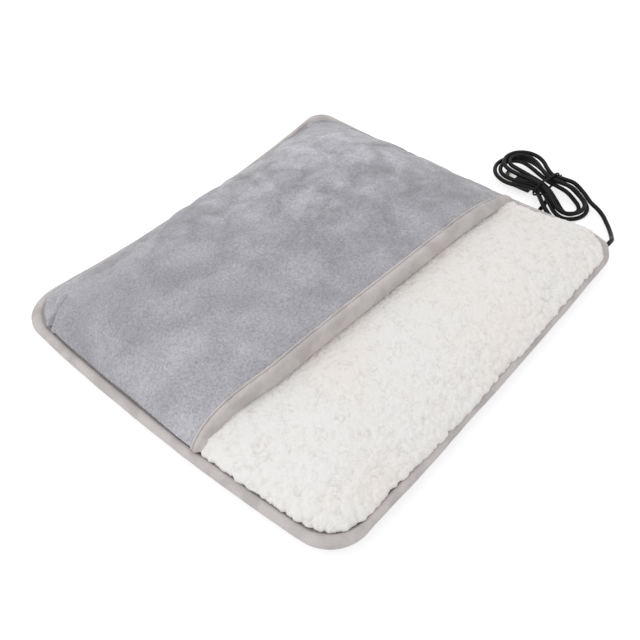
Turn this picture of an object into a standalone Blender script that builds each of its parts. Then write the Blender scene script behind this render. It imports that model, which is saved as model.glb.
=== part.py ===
"""Electric foot warmer: a padded heated mat with a fabric pocket for the feet.

The mat is a sewn sandwich. Every panel has the same bowed, round-cornered plan, drawn in towards
the middle by an inset, and its height is a function of that inset. The pocket panels end at the
mouth line. Metres, +Z up, the mouth faces -Y, and the bottom of the mat is at Z = 0.
"""

import bpy
import bmesh
from math import cos, exp, pi, radians, sin
from mathutils import Vector

MM = 0.001
NAME = "foot_warmer"

# Plan of the mat
MAT_WIDTH = 385 * MM
MAT_DEPTH = 350 * MM
CORNER_RADII = (34 * MM, 21 * MM, 36 * MM, 27 * MM)
FRONT_BOW = 2 * MM
RIGHT_BOW = -6 * MM
BACK_BOW = -14 * MM
LEFT_BOW = 8 * MM
CORNER_STEPS = 5
SIDE_STEPS = 7
HALF_WIDTH = MAT_WIDTH / 2
HALF_DEPTH = MAT_DEPTH / 2
CORNER = (HALF_WIDTH, -HALF_DEPTH)

# Fit
CLEAR = 0.3 * MM
FABRIC = 1.2 * MM
WADDING_SHIFT = FABRIC + CLEAR
SHARP_ANGLE = radians(40)
WELD = 0.01 * MM
SPECK = MM * MM
FINE_STEPS = 12
HALVINGS = 30

# Base cover: a flange in the seam, then a shallow bowl with a flat bottom
BASE_FLANGE_Z = 11.1 * MM
BASE_BOWL_INSET = 13 * MM
BASE_DROP = 11.8 * MM
BASE_ROUNDNESS = 9
BASE_FULLNESS = 1.7
BASE_RINGS = [inset * MM for inset in (3, 13, 14, 17, 23, 33, 50)]

# Foot bed lining: a flange on the base cover's, then the crowned bed
BED_SEAM_Z = 13.8 * MM
BED_SEAM_INSET = 14.6 * MM
BED_RISE = 24.2 * MM
BED_ROUNDNESS = 4.5
BED_FULLNESS = 1.8
BED_RINGS = [inset * MM for inset in (3, 14.6, 15.6, 18, 23, 31, 44, 66, 105)]

# Pocket lining, measured on its under side
LINING_SEAM_Z = 17.6 * MM
LINING_SEAM_INSET = 15.5 * MM
LINING_RISE = 28.4 * MM
LINING_ROUNDNESS = 5
LINING_FULLNESS = 1.45
LINING_RINGS = [inset * MM for inset in (15.5, 17, 21, 28, 40, 62, 100)]

# Pocket cover, measured on its outer side
COVER_SEAM_Z = 14.2 * MM
COVER_SEAM_INSET = 12.4 * MM
COVER_RISE = 39.8 * MM
COVER_ROUNDNESS = 4.5
COVER_FULLNESS = 2
COVER_RINGS = [inset * MM for inset in (12.4, 12.9, 14.2, 17, 22, 31, 45, 68, 110)]

# Mouth line across the mat: how far back it is at the middle, its fall in Y for each unit of X, and
# where and how steeply it turns back towards its two ends
MOUTH_SETBACK = 110 * MM
MOUTH_Y = MOUTH_SETBACK - HALF_DEPTH
MOUTH_SKEW = 0.055
LEFT_TURN_X = 72.5 * MM - HALF_WIDTH
LEFT_SLOPE = -0.195
RIGHT_TURN_X = HALF_WIDTH - 52.5 * MM
RIGHT_SLOPE = 0.275

# Wadding: its rings are the panels' own, moved in square by the fabric and the fit
BASE_WADDING_TOP = 9.5 * MM
BASE_WADDING_RINGS = BASE_RINGS[3:]
BED_WADDING_BOTTOM = 14.5 * MM
BED_WADDING_RIM = 18 * MM
BED_WADDING_RINGS = BED_RINGS[3:]
POCKET_WADDING_RIM = 20.5 * MM
POCKET_WADDING_UNDER = LINING_RINGS[3:]
POCKET_WADDING_OVER = COVER_RINGS[4:]

# Perimeter binding: the mid-line of the folded tape, from its lower edge round to its upper edge
BINDING_TAPE = 1.1 * MM
BINDING_SECTION = [(inset * MM, z * MM) for inset, z in (
    (12, 10.2), (9, 9.3), (5, 9.0), (2, 9.9), (0.6, 12.45), (2, 15.0), (5, 15.9), (9, 15.6), (11.6, 14.8))]

# Mouth binding: a tape folded over the pocket's front edge
MOUTH_TAPE = 1.0 * MM
MOUTH_TAPE_REACH = 4.5 * MM
MOUTH_TAPE_FRONT = 0.8 * MM
MOUTH_TAPE_INSETS = [inset * MM for inset in (
    14.2, 15.5, 17, 19.3, 22, 26, 31, 37, 45, 56, 68, 81, 94, 104)]
MOUTH_TAPE_SHARES = (1, 0.5, 0)
MOUTH_TAPE_CLEAR = 0.5 * MM
SLOPE_STEP = 0.2 * MM

# Heater: felt sheets and a serpentine wire, set in from the mat's edges
FELT_THICKNESS = 0.8 * MM
CARRIER_SIZE = (MAT_WIDTH - 117 * MM, MAT_DEPTH - 114 * MM, FELT_THICKNESS)
CARRIER_CENTRE = (2 * MM, 4 * MM, 10.2 * MM)
COVER_SHEET_SIZE = (MAT_WIDTH - 145 * MM, MAT_DEPTH - 146 * MM, FELT_THICKNESS)
COVER_SHEET_CENTRE = (-12 * MM, 18 * MM, 13.7 * MM)
HEATER_Z = 12.2 * MM
WIRE_DIAMETER = 1.6 * MM
RUN_COUNT = 11
FIRST_RUN_Y = 83 * MM - HALF_DEPTH
LAST_RUN_Y = HALF_DEPTH - 97 * MM
RUN_PITCH = (LAST_RUN_Y - FIRST_RUN_Y) / (RUN_COUNT - 1)
RUN_LEFT = 80.5 * MM - HALF_WIDTH
RUN_RIGHT = HALF_WIDTH - 92.5 * MM
TURN_STEPS = 5
RETURN_Y = 69 * MM - HALF_DEPTH
RETURN_RADIUS = 14 * MM
RETURN_STEPS = 3

# Safety parts in series with the wire
LEAD_DIAMETER = 1.4 * MM
CRIMP_LENGTH = 8 * MM
CRIMP_OUTER = 2.9 * MM
CRIMP_BORE = 2.2 * MM
CRIMP_SIDES = 12
CUTOUT_SIZE = (12 * MM, 7 * MM, 2.8 * MM)
CUTOUT_EDGE = 0.5 * MM
FUSE_LENGTH = 10 * MM
FUSE_DIAMETER = 2.6 * MM
LIVE_CRIMP_X = RUN_RIGHT - 12 * MM
RETURN_CRIMP_X = RUN_RIGHT - 14 * MM
CUTOUT_X = RUN_RIGHT + 4 * MM
FUSE_X = RUN_RIGHT + 3 * MM

# Cord: the stretch inside the mat, its anchor, and the way out through the seam, from the mat's corner
CORD_DIAMETER = 4 * MM
CORD_WAY = 4.8 * MM
CORD_SPACING = 9 * MM
INNER_CORD_Z = 11.9 * MM
INNER_ROUTE = [(CORNER[0] + x * MM, CORNER[1] + y * MM) for x, y in (
    (-4.1, 13.1), (-12.8, 13.3), (-21.3, 18.8), (-28.8, 28.8), (-34.7, 41), (-39.1, 53.5))]
ANCHOR_SIZE = (9 * MM, 12 * MM, 5.2 * MM)
ANCHOR_CENTRE = (CORNER[0] - 34.2 * MM, CORNER[1] + 39.8 * MM, 12.4 * MM)
ANCHOR_TURN = radians(28)
ANCHOR_ROOM = 0.8 * MM
LIVE_ROUTE = [(CORNER[0] + x * MM, CORNER[1] + y * MM) for x, y in (
    (-38.4, 54.6), (-41, 67), (-48.5, 78.5), (-61.5, 83))]
RETURN_ROUTE = [(CORNER[0] + x * MM, CORNER[1] + y * MM) for x, y in (
    (-40.3, 54.1), (-44, 63), (-51.5, 68.2), (-66.5, 69))]

# Cord outside: the free stretch from the seam to the hank
FREE_ROUTE = [(CORNER[0] + x * MM, CORNER[1] + y * MM, z * MM) for x, y, z in (
    (-3.7, 13.1, 11.9), (1, 13, 11.7), (6, 13.7, 10.2), (12.2, 16.2, 7.4), (20.6, 20.8, 4.8),
    (28.7, 26.5, 3.3), (36.5, 33.6, 2.9), (43.1, 41.6, 3.8))]

# Hank: loops drawn in at the waist, in two levels, lying on the plug
HANK_CENTRE = (CORNER[0] + 42.5 * MM, CORNER[1] + 100.4 * MM)
HANK_TURN = radians(12)
LOOP_POINTS = 24
CAP_STEPS = 3
RUN_STEPS = 6
FIRST_STEP = 2
LAST_STEP = 93
REACH_INNER = 42.5 * MM
REACH_STEP = 4.7 * MM
LOBE_INNER = 9 * MM
LOBE_STEP = 6.4 * MM
WAIST_INNER = 2.4 * MM
WAIST_STEP = 5.0 * MM
WAIST_SPREAD = 22 * MM
WAIST_SPREAD_STEP = -3.5 * MM
TURNS_PER_LEVEL = 2
NEST_SHIFT = 0.5
NEST_SHIFT_TURNS = 0.35
FLOOR_Z = 2.15 * MM
LEVEL_PITCH = 4.8 * MM
CLIMB_STEP = 39
PLUG_LIFT = 7.1 * MM
LIFT_START = -40 * MM
LIFT_LENGTH = 25 * MM
LEAN = 3.6 * MM
LEAN_LENGTH = 30 * MM
NEAR_SHIFT = -3 * MM
NEAR_LENGTH = 42 * MM
TAIL_ROUTE = [(CORNER[0] + x * MM, CORNER[1] + y * MM, z * MM) for x, y, z in (
    (8.4, 70.5, 2.9), (9.1, 64.5, 2.2), (8.4, 57.4, 2.15), (4.7, 52.2, 2.15), (-1.3, 50.2, 2.15),
    (-7.3, 52.6, 2.15), (-10.6, 58.4, 2.15), (-10.7, 65.4, 2.15), (-8.3, 72.6, 2.15), (-3.9, 79.2, 2.15),
    (2.5, 84.4, 2.15), (10.1, 87, 2.15), (18.5, 87.8, 2.2), (26.9, 88.6, 2.4), (33.7, 91.8, 3),
    (37.7, 97.4, 3.55))]

NEIGHBOUR_DIAMETERS = 3

# Wire tie round the waist: its section across the hank, from one free end round to the other
TIE_DIAMETER = 1.2 * MM
TIE_ALONG = -3 * MM
TIE_SECTION = [(across * MM, z * MM) for across, z in (
    (19.1, 12.8), (15.8, 13), (15.2, 14.5), (14, 16.7), (11.6, 17.4), (-9.1, 17.4), (-11.6, 16.6),
    (-17.4, 12), (-18.6, 9.6), (-17.2, 6.3), (-6.2, 1), (-3.9, 0.66), (-1.9, 0.8), (13.9, 6.5), (15.2, 9.3),
    (15.8, 11.2), (19.1, 11.2))]

# USB plug, pointing along +Y, its rear at the end of the cord
PLUG_REAR = (CORNER[0] + 38.5 * MM, CORNER[1] + 102.7 * MM, 3.55 * MM)
RELIEF_LENGTH = 7 * MM
RELIEF_REAR_DIAMETER = 5 * MM
RELIEF_FRONT_DIAMETER = 6 * MM
RELIEF_SINK = 1 * MM
RELIEF_SIDES = 16
BODY_SIZE = (15.5 * MM, 19 * MM, 6.6 * MM)
BODY_EDGE = 1.3 * MM
SHELL_SIZE = (12 * MM, 15.5 * MM, 4.5 * MM)
SHELL_WALL = 0.3 * MM
SHELL_SINK = 3 * MM
TONGUE_SIZE = (11.1 * MM, 11 * MM, 1.5 * MM)
TONGUE_Z = 0.85 * MM
CONTACT_SIZE = (1.0 * MM, 8 * MM, 0.25 * MM)
CONTACT_PITCH = 2.5 * MM
CONTACT_Z = -0.35 * MM
CONTACT_COUNT = 4


def clear_scene():
    """Removes whatever the open file holds."""
    for item in list(bpy.data.objects):
        bpy.data.objects.remove(item, do_unlink=True)


def new_collection(name):
    """A collection linked to the scene."""
    group = bpy.data.collections.new(name)
    bpy.context.scene.collection.children.link(group)
    return group


clear_scene()
PARTS = new_collection(NAME)
CUTTERS = new_collection(NAME + "_cutters")


def finish(name, colour, roughness, metallic=0.0):
    """A plain Principled material."""
    look = bpy.data.materials.new(name)
    look.use_nodes = True
    shader = look.node_tree.nodes["Principled BSDF"]
    shader.inputs["Base Color"].default_value = (*colour, 1.0)
    shader.inputs["Roughness"].default_value = roughness
    shader.inputs["Metallic"].default_value = metallic
    return look


GREY_PLUSH = finish("grey_plush", (0.40, 0.40, 0.43), 0.95)
CREAM_FLEECE = finish("cream_fleece", (0.84, 0.83, 0.80), 0.98)
TAUPE_TAPE = finish("taupe_tape", (0.52, 0.48, 0.45), 0.9)
WADDING = finish("wadding", (0.90, 0.90, 0.90), 1.0)
FELT = finish("felt", (0.72, 0.71, 0.68), 0.95)
WIRE_JACKET = finish("wire_jacket", (0.80, 0.10, 0.07), 0.5)
LEAD_JACKET = finish("lead_jacket", (0.75, 0.75, 0.72), 0.5)
CRIMP_METAL = finish("crimp_metal", (0.70, 0.66, 0.60), 0.35, 1.0)
BROWN_RESIN = finish("brown_resin", (0.22, 0.12, 0.06), 0.45)
BLACK_PVC = finish("black_pvc", (0.02, 0.02, 0.022), 0.38)
BRIGHT_STEEL = finish("bright_steel", (0.78, 0.76, 0.70), 0.22, 1.0)
WHITE_NYLON = finish("white_nylon", (0.88, 0.88, 0.86), 0.5)
GOLD_PLATE = finish("gold_plate", (0.86, 0.66, 0.28), 0.3, 1.0)


def place_object(name, data, look=None, parent=None, location=(0, 0, 0)):
    """Puts a mesh or curve in the parts' collection."""
    item = bpy.data.objects.new(name, data)
    PARTS.objects.link(item)
    item.location = location
    if look is not None:
        data.materials.append(look)
    if parent is not None:
        item.parent = parent
    return item


def object_from(shape, name, look, parent=None, location=(0, 0, 0)):
    """Turns a bmesh into a smooth-shaded object."""
    mesh = bpy.data.meshes.new(name)
    shape.to_mesh(mesh)
    shape.free()
    mesh.shade_smooth()
    mesh.set_sharp_from_angle(angle=SHARP_ANGLE)
    return place_object(name, mesh, look, parent, location)


def empty(name, location):
    """An empty that other pieces hang from."""
    holder = bpy.data.objects.new(name, None)
    PARTS.objects.link(holder)
    holder.location = location
    return holder


def thicken(item, thickness, side):
    """Gives an open surface its thickness: side -1 inwards, 0 both ways, 1 outwards."""
    wall = item.modifiers.new("thickness", "SOLIDIFY")
    wall.thickness = thickness
    wall.offset = side
    wall.use_even_offset = True


def round_edges(item, width, segments):
    """Rounds an object's sharp edges."""
    edge = item.modifiers.new("edges", "BEVEL")
    edge.width = width
    edge.segments = segments
    edge.limit_method = "ANGLE"


def as_cutter(item):
    """Moves an object to the cutters."""
    PARTS.objects.unlink(item)
    CUTTERS.objects.link(item)
    item.hide_render = True
    item.display_type = "WIRE"
    return item


def combine(item, other, operation):
    """Adds an exact boolean."""
    step = item.modifiers.new(operation.lower(), "BOOLEAN")
    step.operation = operation
    step.solver = "EXACT"
    step.object = other


def box(name, size, look, parent=None, location=(0, 0, 0)):
    """A cuboid centred on its origin."""
    shape = bmesh.new()
    bmesh.ops.create_cube(shape, size=1)
    bmesh.ops.scale(shape, vec=size, verts=shape.verts)
    return object_from(shape, name, look, parent, location)


def tube(name, points, diameter, look, roundness=2, parent=None):
    """A capped round tube along points."""
    curve = bpy.data.curves.new(name, "CURVE")
    curve.dimensions = "3D"
    curve.bevel_depth = diameter / 2
    curve.bevel_resolution = roundness
    curve.use_fill_caps = True
    spline = curve.splines.new("POLY")
    spline.points.add(len(points) - 1)
    for place, point in zip(spline.points, points):
        place.co = (*point, 1)
    spline.use_smooth = True
    return place_object(name, curve, look, parent)


def as_mesh(item):
    """Replaces a curve object by the mesh of its tube, with the caps welded on."""
    seen = item.evaluated_get(bpy.context.evaluated_depsgraph_get())
    mesh = bpy.data.meshes.new_from_object(seen)
    name = item.name
    matrix = item.matrix_world.copy()
    bpy.data.objects.remove(item, do_unlink=True)
    shape = bmesh.new()
    shape.from_mesh(mesh)
    bmesh.ops.remove_doubles(shape, verts=shape.verts, dist=WELD)
    bmesh.ops.recalc_face_normals(shape, faces=shape.faces)
    shape.to_mesh(mesh)
    shape.free()
    solid = place_object(name, mesh)
    solid.matrix_world = matrix
    return solid


def smooth(share):
    """Eased step from 0 to 1."""
    share = min(max(share, 0), 1)
    return share * share * (3 - 2 * share)


def curve_between(before, start, end, after, share):
    """A point on the smooth curve from start to end."""
    square = share * share
    cube = square * share
    return 0.5 * (2 * start + (end - before) * share
                  + (2 * before - 5 * start + 4 * end - after) * square
                  + (3 * start - before - 3 * end + after) * cube)


def smooth_route(points, spacing):
    """Points evenly spaced along a smooth curve through the given ones."""
    route = [Vector(point) for point in points]
    padded = [2 * route[0] - route[1], *route, 2 * route[-1] - route[-2]]
    dense = []
    for number in range(1, len(padded) - 2):
        corners = padded[number - 1:number + 3]
        dense += [curve_between(*corners, step / FINE_STEPS) for step in range(FINE_STEPS)]
    dense.append(route[-1])
    lengths = [0.0]
    for start, end in zip(dense, dense[1:]):
        lengths.append(lengths[-1] + (end - start).length)
    count = max(2, round(lengths[-1] / spacing))
    even = []
    number = 0
    for step in range(count + 1):
        along = lengths[-1] * step / count
        while number < len(dense) - 2 and lengths[number + 1] < along:
            number += 1
        share = (along - lengths[number]) / (lengths[number + 1] - lengths[number])
        even.append(dense[number].lerp(dense[number + 1], min(share, 1)))
    return even


def bowed(x, y):
    """Moves a point of the straight-sided plan out by its side's bow."""
    side_bow = RIGHT_BOW if x > 0 else LEFT_BOW
    end_bow = BACK_BOW if y > 0 else FRONT_BOW
    out_x = side_bow * (1 - (y / HALF_DEPTH) ** 2) * x / HALF_WIDTH
    out_y = end_bow * (1 - (x / HALF_WIDTH) ** 2) * y / HALF_DEPTH
    return x + out_x, y + out_y


def corner_arc(number):
    """Points of one round corner; corner 0 is the front right one, and they go counter-clockwise."""
    sign_x = 1 if number in (0, 1) else -1
    sign_y = 1 if number in (1, 2) else -1
    radius = CORNER_RADII[number]
    centre_x = sign_x * (HALF_WIDTH - radius)
    centre_y = sign_y * (HALF_DEPTH - radius)
    angles = [pi / 2 * (number - 1 + step / CORNER_STEPS) for step in range(CORNER_STEPS + 1)]
    return [(centre_x + radius * cos(angle), centre_y + radius * sin(angle)) for angle in angles]


def mat_outline():
    """The plan's points, counter-clockwise, with the middle of its box at the origin."""
    arcs = [corner_arc(number) for number in range(4)]
    points = []
    for arc, ahead in zip(arcs, arcs[1:] + arcs[:1]):
        points += arc
        start = Vector(arc[-1])
        end = Vector(ahead[0])
        points += [tuple(start.lerp(end, step / SIDE_STEPS)) for step in range(1, SIDE_STEPS)]
    points = [bowed(x, y) for x, y in points]
    columns = [x for x, y in points]
    rows = [y for x, y in points]
    middle = Vector(((max(columns) + min(columns)) / 2, (max(rows) + min(rows)) / 2))
    return [Vector(point) - middle for point in points]


OUTLINE = mat_outline()


def ring(inset, height):
    """The plan drawn in by an inset, at a height."""
    share = 1 - inset / HALF_DEPTH
    return [(point.x * share, point.y * share, height) for point in OUTLINE]


def inset_at(x, y):
    """How far in from the outline a place in the plan is."""
    for start, end in zip(OUTLINE, OUTLINE[1:] + OUTLINE[:1]):
        edge = end - start
        turn = x * edge.y - y * edge.x
        if abs(turn) < SPECK:
            continue
        scale = (start.x * edge.y - start.y * edge.x) / turn
        along = (scale * x - start.x) * edge.x + (scale * y - start.y) * edge.y
        on_edge = -SPECK <= along <= edge.length_squared + SPECK
        if scale > 0 and on_edge:
            return HALF_DEPTH * (1 - 1 / scale)
    return HALF_DEPTH


def swell(inset, start, rise, roundness, fullness):
    """How far a padded panel has risen at an inset."""
    share = min(max((HALF_DEPTH - inset) / (HALF_DEPTH - start), 0), 1)
    return rise * (1 - share ** roundness) ** (1 / fullness)


def base_under(inset):
    """Height of the base cover's outer side."""
    drop = swell(inset, BASE_BOWL_INSET, BASE_DROP, BASE_ROUNDNESS, BASE_FULLNESS)
    return max(0.0, BASE_FLANGE_Z - drop)


def bed_top(inset):
    """Height of the foot bed's upper side."""
    return BED_SEAM_Z + swell(inset, BED_SEAM_INSET, BED_RISE, BED_ROUNDNESS, BED_FULLNESS)


def lining_under(inset):
    """Height of the pocket lining's under side."""
    return LINING_SEAM_Z + swell(inset, LINING_SEAM_INSET, LINING_RISE, LINING_ROUNDNESS, LINING_FULLNESS)


def cover_top(inset):
    """Height of the pocket cover's outer side."""
    return COVER_SEAM_Z + swell(inset, COVER_SEAM_INSET, COVER_RISE, COVER_ROUNDNESS, COVER_FULLNESS)


def grow_row(shape, verts, edges, places):
    """Extrudes a row of edges to new places and returns the new row's vertices and edges."""
    grown = bmesh.ops.extrude_edge_only(shape, edges=edges)["geom"]
    fresh = {part for part in grown if isinstance(part, bmesh.types.BMVert)}
    row = [next(edge.other_vert(vert) for edge in vert.link_edges if edge.other_vert(vert) in fresh)
           for vert in verts]
    for vert, place in zip(row, places):
        vert.co = place
    return row, [part for part in grown if isinstance(part, bmesh.types.BMEdge) and set(part.verts) <= fresh]


def ring_surface(levels, closed_start=False, closed_end=True):
    """A surface of rings, each grown from the last, with a flat middle where it is closed."""
    shape = bmesh.new()
    first = bmesh.ops.create_circle(shape, cap_ends=closed_start, segments=len(OUTLINE), radius=HALF_DEPTH)
    verts = first["verts"]
    edges = list(shape.edges)
    for vert, place in zip(verts, ring(*levels[0])):
        vert.co = place
    for level in levels[1:]:
        verts, edges = grow_row(shape, verts, edges, ring(*level))
    if closed_end:
        bmesh.ops.contextual_create(shape, geom=edges)
    bmesh.ops.recalc_face_normals(shape, faces=shape.faces)
    return shape


def face_middle(shape, upwards):
    """Turns an open surface so that its middle face looks up or down."""
    shape.normal_update()
    middle = min(shape.faces, key=lambda face: face.calc_center_median().xy.length)
    if (middle.normal.z > 0) != upwards:
        bmesh.ops.reverse_faces(shape, faces=shape.faces)
    return shape


def mouth_y(x):
    """The mouth line's Y at an X."""
    back = LEFT_SLOPE * min(0.0, x - LEFT_TURN_X) + RIGHT_SLOPE * max(0.0, x - RIGHT_TURN_X)
    return MOUTH_Y - MOUTH_SKEW * x + back


def trim_to_mouth(shape, closed):
    """Cuts away what lies in front of the mouth line's three stretches, and closes the cuts of a solid."""
    for turn_x, slope in ((0, 0), (LEFT_TURN_X, LEFT_SLOPE), (RIGHT_TURN_X, RIGHT_SLOPE)):
        geometry = [*shape.verts, *shape.edges, *shape.faces]
        result = bmesh.ops.bisect_plane(shape, geom=geometry, plane_co=(turn_x, mouth_y(turn_x), 0),
                                        plane_no=(MOUTH_SKEW - slope, 1, 0), clear_inner=True)
        if closed:
            cut = [part for part in result["geom_cut"] if isinstance(part, bmesh.types.BMEdge)]
            bmesh.ops.contextual_create(shape, geom=cut)
            bmesh.ops.recalc_face_normals(shape, faces=shape.faces)
    return shape


def off_surface(height, x, y, lift):
    """A point on a panel's surface, moved off it square to it."""
    fall_x = (height(inset_at(x + SLOPE_STEP, y)) - height(inset_at(x - SLOPE_STEP, y))) / (2 * SLOPE_STEP)
    fall_y = (height(inset_at(x, y + SLOPE_STEP)) - height(inset_at(x, y - SLOPE_STEP))) / (2 * SLOPE_STEP)
    normal = Vector((-fall_x, -fall_y, 1)).normalized()
    return Vector((x, y, height(inset_at(x, y)))) + normal * lift


def route_cutter():
    """The cord's way through the seam, as a cutter."""
    out = Vector((INNER_ROUTE[0][0] + 2 * CORD_DIAMETER, INNER_ROUTE[0][1]))
    points = [(x, y, INNER_CORD_Z) for x, y in (tuple(out), *INNER_ROUTE)]
    return as_cutter(as_mesh(tube("cord_way", smooth_route(points, CORD_SPACING), CORD_WAY, None)))


CORD_CUTTER = route_cutter()


def make_base_cover():
    """The grey panel under the mat."""
    shape = face_middle(ring_surface([(inset, base_under(inset)) for inset in BASE_RINGS]), False)
    cover = object_from(shape, "base_cover", GREY_PLUSH)
    thicken(cover, FABRIC, -1)
    combine(cover, CORD_CUTTER, "DIFFERENCE")


def make_base_padding():
    """The thin wadding under the heater."""
    levels = [(BASE_WADDING_RINGS[0] + WADDING_SHIFT, BASE_WADDING_TOP)]
    levels += [(inset + WADDING_SHIFT, base_under(inset) + WADDING_SHIFT) for inset in BASE_WADDING_RINGS]
    object_from(ring_surface(levels, closed_start=True), "base_padding", WADDING)


def make_anchor():
    """The saddle that holds the cord, and the room for it in the bed's wadding."""
    anchor = box("cord_anchor", ANCHOR_SIZE, BLACK_PVC, location=ANCHOR_CENTRE)
    anchor.rotation_euler.z = ANCHOR_TURN
    round_edges(anchor, CUTOUT_EDGE, 2)
    combine(anchor, CORD_CUTTER, "DIFFERENCE")
    room = box("anchor_room", [size + ANCHOR_ROOM for size in ANCHOR_SIZE], None, location=ANCHOR_CENTRE)
    room.rotation_euler.z = ANCHOR_TURN
    return as_cutter(room)


def make_bed_padding(room):
    """The thick wadding that gives the mat its crown."""
    levels = [(BED_WADDING_RIM, BED_WADDING_BOTTOM)]
    levels += [(inset + WADDING_SHIFT, bed_top(inset) - WADDING_SHIFT) for inset in BED_WADDING_RINGS]
    padding = object_from(ring_surface(levels, closed_start=True), "bed_padding", WADDING)
    combine(padding, room, "DIFFERENCE")


def make_foot_bed():
    """The fleece panel that the feet rest on."""
    shape = face_middle(ring_surface([(inset, bed_top(inset)) for inset in BED_RINGS]), True)
    bed = object_from(shape, "foot_bed_lining", CREAM_FLEECE)
    thicken(bed, FABRIC, -1)
    combine(bed, CORD_CUTTER, "DIFFERENCE")


def make_perimeter_binding():
    """The folded tape sewn round the whole edge."""
    binding = object_from(ring_surface(BINDING_SECTION, closed_end=False), "perimeter_binding", TAUPE_TAPE)
    thicken(binding, BINDING_TAPE, 0)
    combine(binding, CORD_CUTTER, "DIFFERENCE")


def make_pocket_cover(hinge):
    """The grey panel over the feet."""
    shape = face_middle(ring_surface([(inset, cover_top(inset)) for inset in COVER_RINGS]), True)
    cover = object_from(trim_to_mouth(shape, False), "pocket_cover", GREY_PLUSH, hinge, -hinge.location)
    thicken(cover, FABRIC, -1)


def make_pocket_lining(hinge):
    """The fleece inside the pocket's top."""
    shape = face_middle(ring_surface([(inset, lining_under(inset)) for inset in LINING_RINGS]), True)
    lining = object_from(trim_to_mouth(shape, False), "pocket_lining", CREAM_FLEECE, hinge, -hinge.location)
    thicken(lining, FABRIC, 1)


def make_pocket_padding(hinge):
    """The wadding in the pocket's top."""
    rim = (POCKET_WADDING_RIM, lining_under(POCKET_WADDING_RIM + WADDING_SHIFT) + WADDING_SHIFT)
    under = [rim]
    under += [(inset - WADDING_SHIFT, lining_under(inset) + WADDING_SHIFT) for inset in POCKET_WADDING_UNDER]
    over = [(inset + WADDING_SHIFT, cover_top(inset) - WADDING_SHIFT) for inset in POCKET_WADDING_OVER]
    shape = trim_to_mouth(ring_surface(under[::-1] + over, closed_start=True), True)
    object_from(shape, "pocket_padding", WADDING, hinge, -hinge.location)


def mouth_station(inset, side):
    """The X at which the mouth line is at an inset, on the left (-1) or the right (1)."""
    near = 0.0
    far = HALF_WIDTH
    for _ in range(HALVINGS):
        middle = (near + far) / 2
        if inset_at(side * middle, mouth_y(side * middle)) > inset:
            near = middle
        else:
            far = middle
    return side * near


def mouth_tape_row(x):
    """The tape's inner side at one station: back over the cover, then down the front."""
    y = mouth_y(x)
    rows = [y + MOUTH_TAPE_REACH * share for share in MOUTH_TAPE_SHARES]
    over = [off_surface(cover_top, x, row, MOUTH_TAPE_CLEAR) for row in rows]
    front = over[-1] - Vector((0, MOUTH_TAPE_FRONT, 0))
    under = Vector((front.x, front.y, lining_under(inset_at(x, y))))
    return [*over, front, under]


def make_mouth_binding(hinge):
    """The folded tape over the pocket's front edge."""
    left = [mouth_station(inset, -1) for inset in MOUTH_TAPE_INSETS]
    right = [mouth_station(inset, 1) for inset in reversed(MOUTH_TAPE_INSETS)]
    rows = [mouth_tape_row(x) for x in (*left, 0.0, *right)]
    shape = bmesh.new()
    verts = [shape.verts.new(point) for point in rows[0]]
    edges = [shape.edges.new(pair) for pair in zip(verts, verts[1:])]
    for row in rows[1:]:
        verts, edges = grow_row(shape, verts, edges, row)
    bmesh.ops.recalc_face_normals(shape, faces=shape.faces)
    shape.normal_update()
    highest = max(shape.faces, key=lambda face: face.calc_center_median().z)
    if highest.normal.z < 0:
        bmesh.ops.reverse_faces(shape, faces=shape.faces)
    tape = object_from(shape, "mouth_binding", TAUPE_TAPE, hinge, -hinge.location)
    thicken(tape, MOUTH_TAPE, 1)


def arc(centre, radius, start, end, steps):
    """Points on an arc in the plan, both ends left out; angles in degrees."""
    angles = [radians(start + (end - start) * step / steps) for step in range(1, steps)]
    return [(centre[0] + radius * cos(angle), centre[1] + radius * sin(angle)) for angle in angles]


def heating_route():
    """The serpentine from one crimp and the way back to the other."""
    points = []
    turn = RUN_PITCH / 2
    start_x = LIVE_CRIMP_X - CLEAR
    for run in range(RUN_COUNT):
        y = FIRST_RUN_Y + run * RUN_PITCH
        leftwards = run % 2 == 0
        end_x = RUN_LEFT if leftwards else RUN_RIGHT
        points += [(start_x, y), (end_x, y)]
        if run < RUN_COUNT - 1:
            sweep = (270, 90) if leftwards else (-90, 90)
            points += arc((end_x, y + turn), turn, *sweep, TURN_STEPS)
        start_x = end_x
    down_x = RUN_LEFT - RETURN_RADIUS
    upper = LAST_RUN_Y - RETURN_RADIUS
    lower = RETURN_Y + RETURN_RADIUS
    points += arc((RUN_LEFT, upper), RETURN_RADIUS, 90, 180, RETURN_STEPS)
    points += [(down_x, upper), (down_x, lower)]
    points += arc((RUN_LEFT, lower), RETURN_RADIUS, 180, 270, RETURN_STEPS)
    points += [(RUN_LEFT, RETURN_Y), (RETURN_CRIMP_X - CLEAR, RETURN_Y)]
    return [(x, y, HEATER_Z) for x, y in points]


def straight_wire(name, start_x, end_x, y):
    """A short link wire along X."""
    tube(name, [(start_x, y, HEATER_Z), (end_x, y, HEATER_Z)], LEAD_DIAMETER, LEAD_JACKET, 1)


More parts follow.
